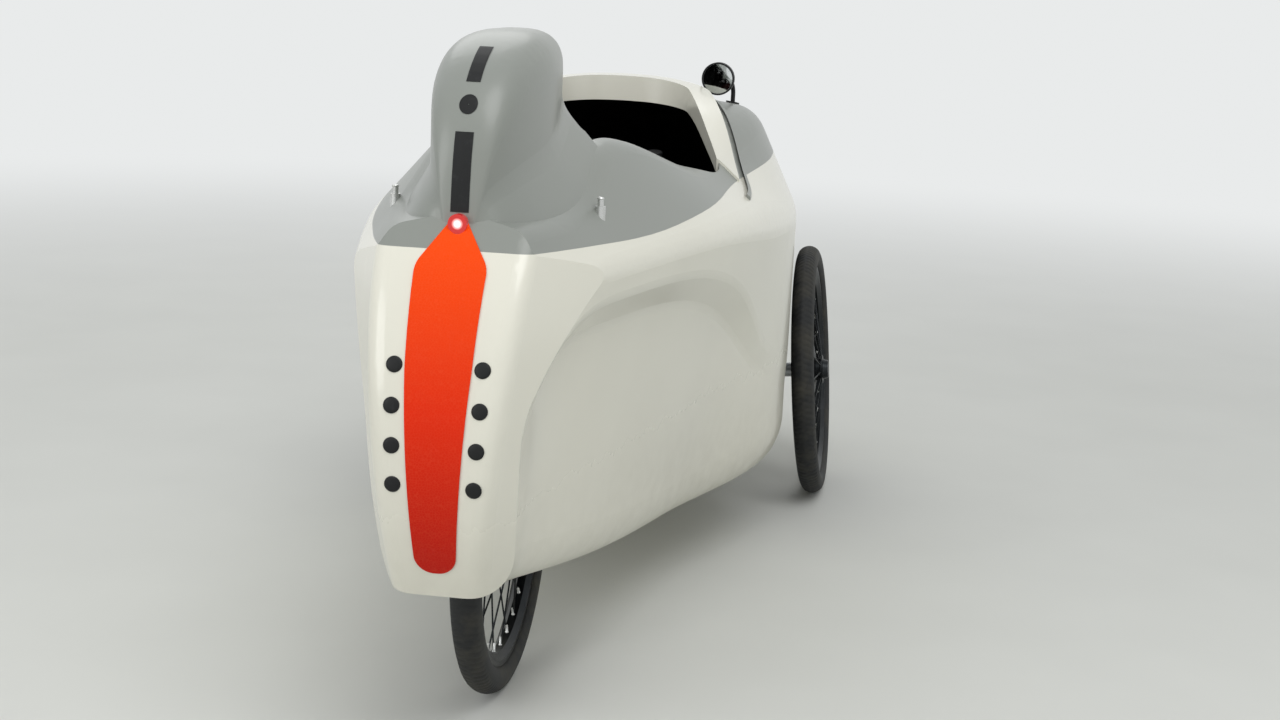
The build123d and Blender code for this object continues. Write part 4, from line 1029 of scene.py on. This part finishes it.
@dataclass
class SeatPad(Assembly):
    """Foam seat pad in spacer mesh: swollen by cloth pressure, with sewn cross channels."""

    voxel: float = 0.006
    smoothing: int = 4
    pressure: float = 4.0
    stiffness: float = 12.0
    bending: float = 2.0
    frames: int = 20
    cap: float = 0.007
    shrink: float = 0.002
    channel_every: float = 0.085
    channel_depth: float = 0.006
    channel_width: float = 0.007
    line: Pairs = ((0.020, 0.296), (-0.170, 0.214), (-0.320, 0.262), (-0.640, 0.572))
    facing: Pair = (0.7, 0.2)

    def swell(self, piece: Piece) -> None:
        """Blow the pad up with cloth pressure, with no point moved further than the cap.

        Args:
            piece: the pad, which is changed.
        """
        before = vectors(piece.data.vertices, "co")
        cloth = piece.modifiers.new("Cloth", "CLOTH")
        settings = cloth.settings
        settings.use_pressure = True
        settings.uniform_pressure_force = self.pressure
        settings.effector_weights.gravity = 0
        settings.tension_stiffness = settings.compression_stiffness = self.stiffness
        settings.bending_stiffness = self.bending
        cloth.collision_settings.use_collision = False
        cloth.point_cache.frame_end = self.frames
        scene = bpy.context.scene
        for number in range(1, self.frames + 1):
            scene.frame_set(number)
        graph = bpy.context.evaluated_depsgraph_get()
        move = vectors(piece.evaluated_get(graph).data.vertices, "co") - before
        piece.modifiers.remove(cloth)
        scene.frame_set(1)
        length = np.linalg.norm(move, axis=1, keepdims=True)
        move *= np.minimum(1, self.cap / np.maximum(length, 1e-9))
        piece.data.vertices.foreach_set("co", (before + move).ravel())
        piece.data.update()

    def sew(self, mesh: bpy.types.Mesh) -> None:
        """Press the sewn channels into the top of the pad.

        A point's distance along the seat is measured on the seat's straight runs. The surface
        sinks along its normal by depth times exp(-(distance to the channel / width) squared),
        where the normal looks upwards or forwards.

        Args:
            mesh: the pad's mesh, which is changed.
        """
        points, normals = (vectors(mesh.vertices, name) for name in ("co", "normal"))
        best, along, run = np.full(len(points), 1e9), np.zeros(len(points)), 0.0
        for (x0, z0), (x1, z1) in zip(self.line, self.line[1:]):
            length = math.hypot(x1 - x0, z1 - z0)
            ux, uz = (x1 - x0) / length, (z1 - z0) / length
            share = (points[:, 0] - x0) * ux + (points[:, 2] - z0) * uz
            share = np.clip(share, 0, length)
            away = np.hypot(points[:, 0] - x0 - share * ux, points[:, 2] - z0 - share * uz)
            along = np.where(away < best, run + share, along)
            best = np.minimum(best, away)
            run += length
        offset = (along + self.channel_every / 2) % self.channel_every - self.channel_every / 2
        sink = self.channel_depth * np.exp(-(offset / self.channel_width) ** 2)
        forward_share, least = self.facing
        upper = normals[:, 2] + forward_share * normals[:, 0] > least
        mesh.vertices.foreach_set("co", (points - normals * (sink * upper)[:, None]).ravel())
        mesh.update()

    def build(self) -> None:
        """Make the pad from the CAD pad."""
        mesh = self.frame["nodes"]["seat_pad"].data.copy()
        mesh.materials.clear()
        piece = linked("seat_cushion", mesh)
        remesh = piece.modifiers.new("Remesh", "REMESH")
        remesh.mode = "VOXEL"
        remesh.voxel_size = self.voxel
        piece.modifiers.new("Smooth", "SMOOTH").iterations = self.smoothing
        graph = bpy.context.evaluated_depsgraph_get()
        shaped = bpy.data.meshes.new_from_object(piece.evaluated_get(graph))
        piece.modifiers.clear()
        piece.data = shaped
        points, normals = (vectors(shaped.vertices, name) for name in ("co", "normal"))
        shaped.vertices.foreach_set("co", (points - normals * self.shrink).ravel())
        shaped.update()
        self.swell(piece)
        self.sew(shaped)
        shaped.polygons.foreach_set("use_smooth", np.ones(len(shaped.polygons), bool))
        finer = piece.modifiers.new("Subdivision", "SUBSURF")
        finer.levels = finer.render_levels = 1
        self.dress(piece, "seat_fabric")
        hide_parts("seat_pad")


@dataclass
class Studio:
    """Pale floor, soft light and the photograph's viewpoint, with a longer lens than the
    photograph's so that the object fills the frame. A lamp is (place, size, power)."""

    eye: Point = (-3.364, -0.565, 1.025)
    target: Point = (-0.42, -0.13, 0.412)
    roll: float = 0.044
    lens: float = 54.5
    sensor: float = 36.0
    floor_half: float = 40.0
    floor_colour: str = "D9DAD6"
    floor_patch: str = "D2D3CF"
    sky_colour: str = "F4F6F6"
    sky_light: float = 0.62
    sky_seen: float = 0.9
    fade: Pair = (1.6, 6.5)
    lamps: tuple[tuple[Point, float, float], ...] = (
        ((-2.6, -1.4, 4.2), 3.0, 74.0),
        ((-3.8, 2.6, 1.8), 2.4, 37.0),
        ((2.8, 1.2, 3.4), 3.0, 26.0))

    def towards_target(self, point: Point) -> Matrix:
        """The place of a lamp or a camera that stands at a point and looks at the target."""
        return place_along(point, Vector(self.target) - Vector(point), "-Z")

    @staticmethod
    def seen_rays(tree: Tree) -> Socket:
        """A socket that is 1 for what the camera sees, directly or in a reflection, else 0.

        Args:
            tree: the node tree.

        Returns:
            The socket.
        """
        rays = add_node(tree, "LightPath").node.outputs
        seen = rays["Is Camera Ray"]
        for ray in ("Is Glossy Ray", "Is Transmission Ray"):
            seen = add_node(tree, "Math", {0: seen, 1: rays[ray]}, {"operation": "MAXIMUM"})
        return seen

    def build_floor(self) -> None:
        """A wide pale floor that keeps the shadow and fades into the sky's colour far away."""
        corners = np.array([[-1, 1, 0], [-1, -1, 0], [1, -1, 0], [1, 1, 0]]) * self.floor_half
        floor = solid_mesh("floor", corners, [[0, 1, 2, 3]])
        material = bpy.data.materials.new("pale_floor")
        tree = emptied_tree(material)
        place = add_node(tree, "TexCoord", output="Object")
        cloud = add_node(tree, "TexNoise", {"Vector": place, "Scale": 1 / (300 * MM)})
        colour = add_node(tree, "Mix", {
            0: cloud, MIX_A: self.floor_colour, MIX_B: self.floor_patch}, RGBA, MIX_OUT)
        shader = add_node(tree, "BsdfPrincipled", {"Base Color": colour, "Roughness": 0.9})
        away = add_node(tree, "VectorMath", {0: place}, {"operation": "LENGTH"}, "Value")
        far = add_node(tree, "MapRange", {
            "Value": away, "From Min": self.fade[0], "From Max": self.fade[1]}, SMOOTH_STEP)
        share = add_node(tree, "Math", {0: far, 1: self.seen_rays(tree)}, MULTIPLY)
        haze = add_node(tree, "Emission", {"Color": self.sky_colour, "Strength": self.sky_seen})
        mixed = add_node(tree, "MixShader", {0: share, 1: shader, 2: haze})
        add_node(tree, "OutputMaterial", {"Surface": mixed})
        floor.data.materials.append(material)

    def build_light(self) -> None:
        """Soft lamps round the object and an even sky, which looks a little brighter to the
        camera and in reflections than the light it gives."""
        for number, (point, size, power) in enumerate(self.lamps):
            lamp = bpy.data.lights.new(f"soft_lamp_{number}", "AREA")
            lamp.shape = "DISK"
            lamp.size = size
            lamp.energy = power
            linked(lamp.name, lamp).matrix_world = self.towards_target(point)
        world = bpy.data.worlds.new("sky")
        tree = emptied_tree(world)
        strength = add_node(tree, "MapRange", {
            "Value": self.seen_rays(tree), "To Min": self.sky_light, "To Max": self.sky_seen})
        sky = add_node(tree, "Background", {"Color": self.sky_colour, "Strength": strength})
        add_node(tree, "OutputWorld", {"Surface": sky})
        bpy.context.scene.world = world
        bpy.context.scene.view_settings.view_transform = "Standard"

    def build_camera(self) -> None:
        """Set the camera at the photograph's place."""
        camera = bpy.data.cameras.new("camera")
        camera.lens = self.lens
        camera.sensor_width = self.sensor
        holder = linked("camera", camera)
        holder.matrix_world = self.towards_target(self.eye) @ Matrix.Rotation(self.roll, 4, "Z")
        bpy.context.scene.camera = holder


def main() -> None:
    """Load the frame, dress it and set up the studio."""
    logging.basicConfig(level=logging.INFO, format="%(name)s: %(message)s")
    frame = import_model()
    studio = Studio()
    studio.build_camera()
    studio.build_floor()
    studio.build_light()
    finishes = Finishes()
    finishes.build()
    finishes.dress_nodes(frame)
    Shell(frame, finishes).build()
    SternVents(frame, finishes).build()
    for wheel in (("front_left", "wheel_left", CAMBER), ("front_right", "wheel_right", -CAMBER),
                  ("rear", "wheel_back")):
        RoadWheel(frame, finishes, *wheel).build()
    for assembly in (Chain, Controls, Mirrors, HoodStuds, SeatPad):
        assembly(frame, finishes).build()


if __name__ == "__main__":
    main()
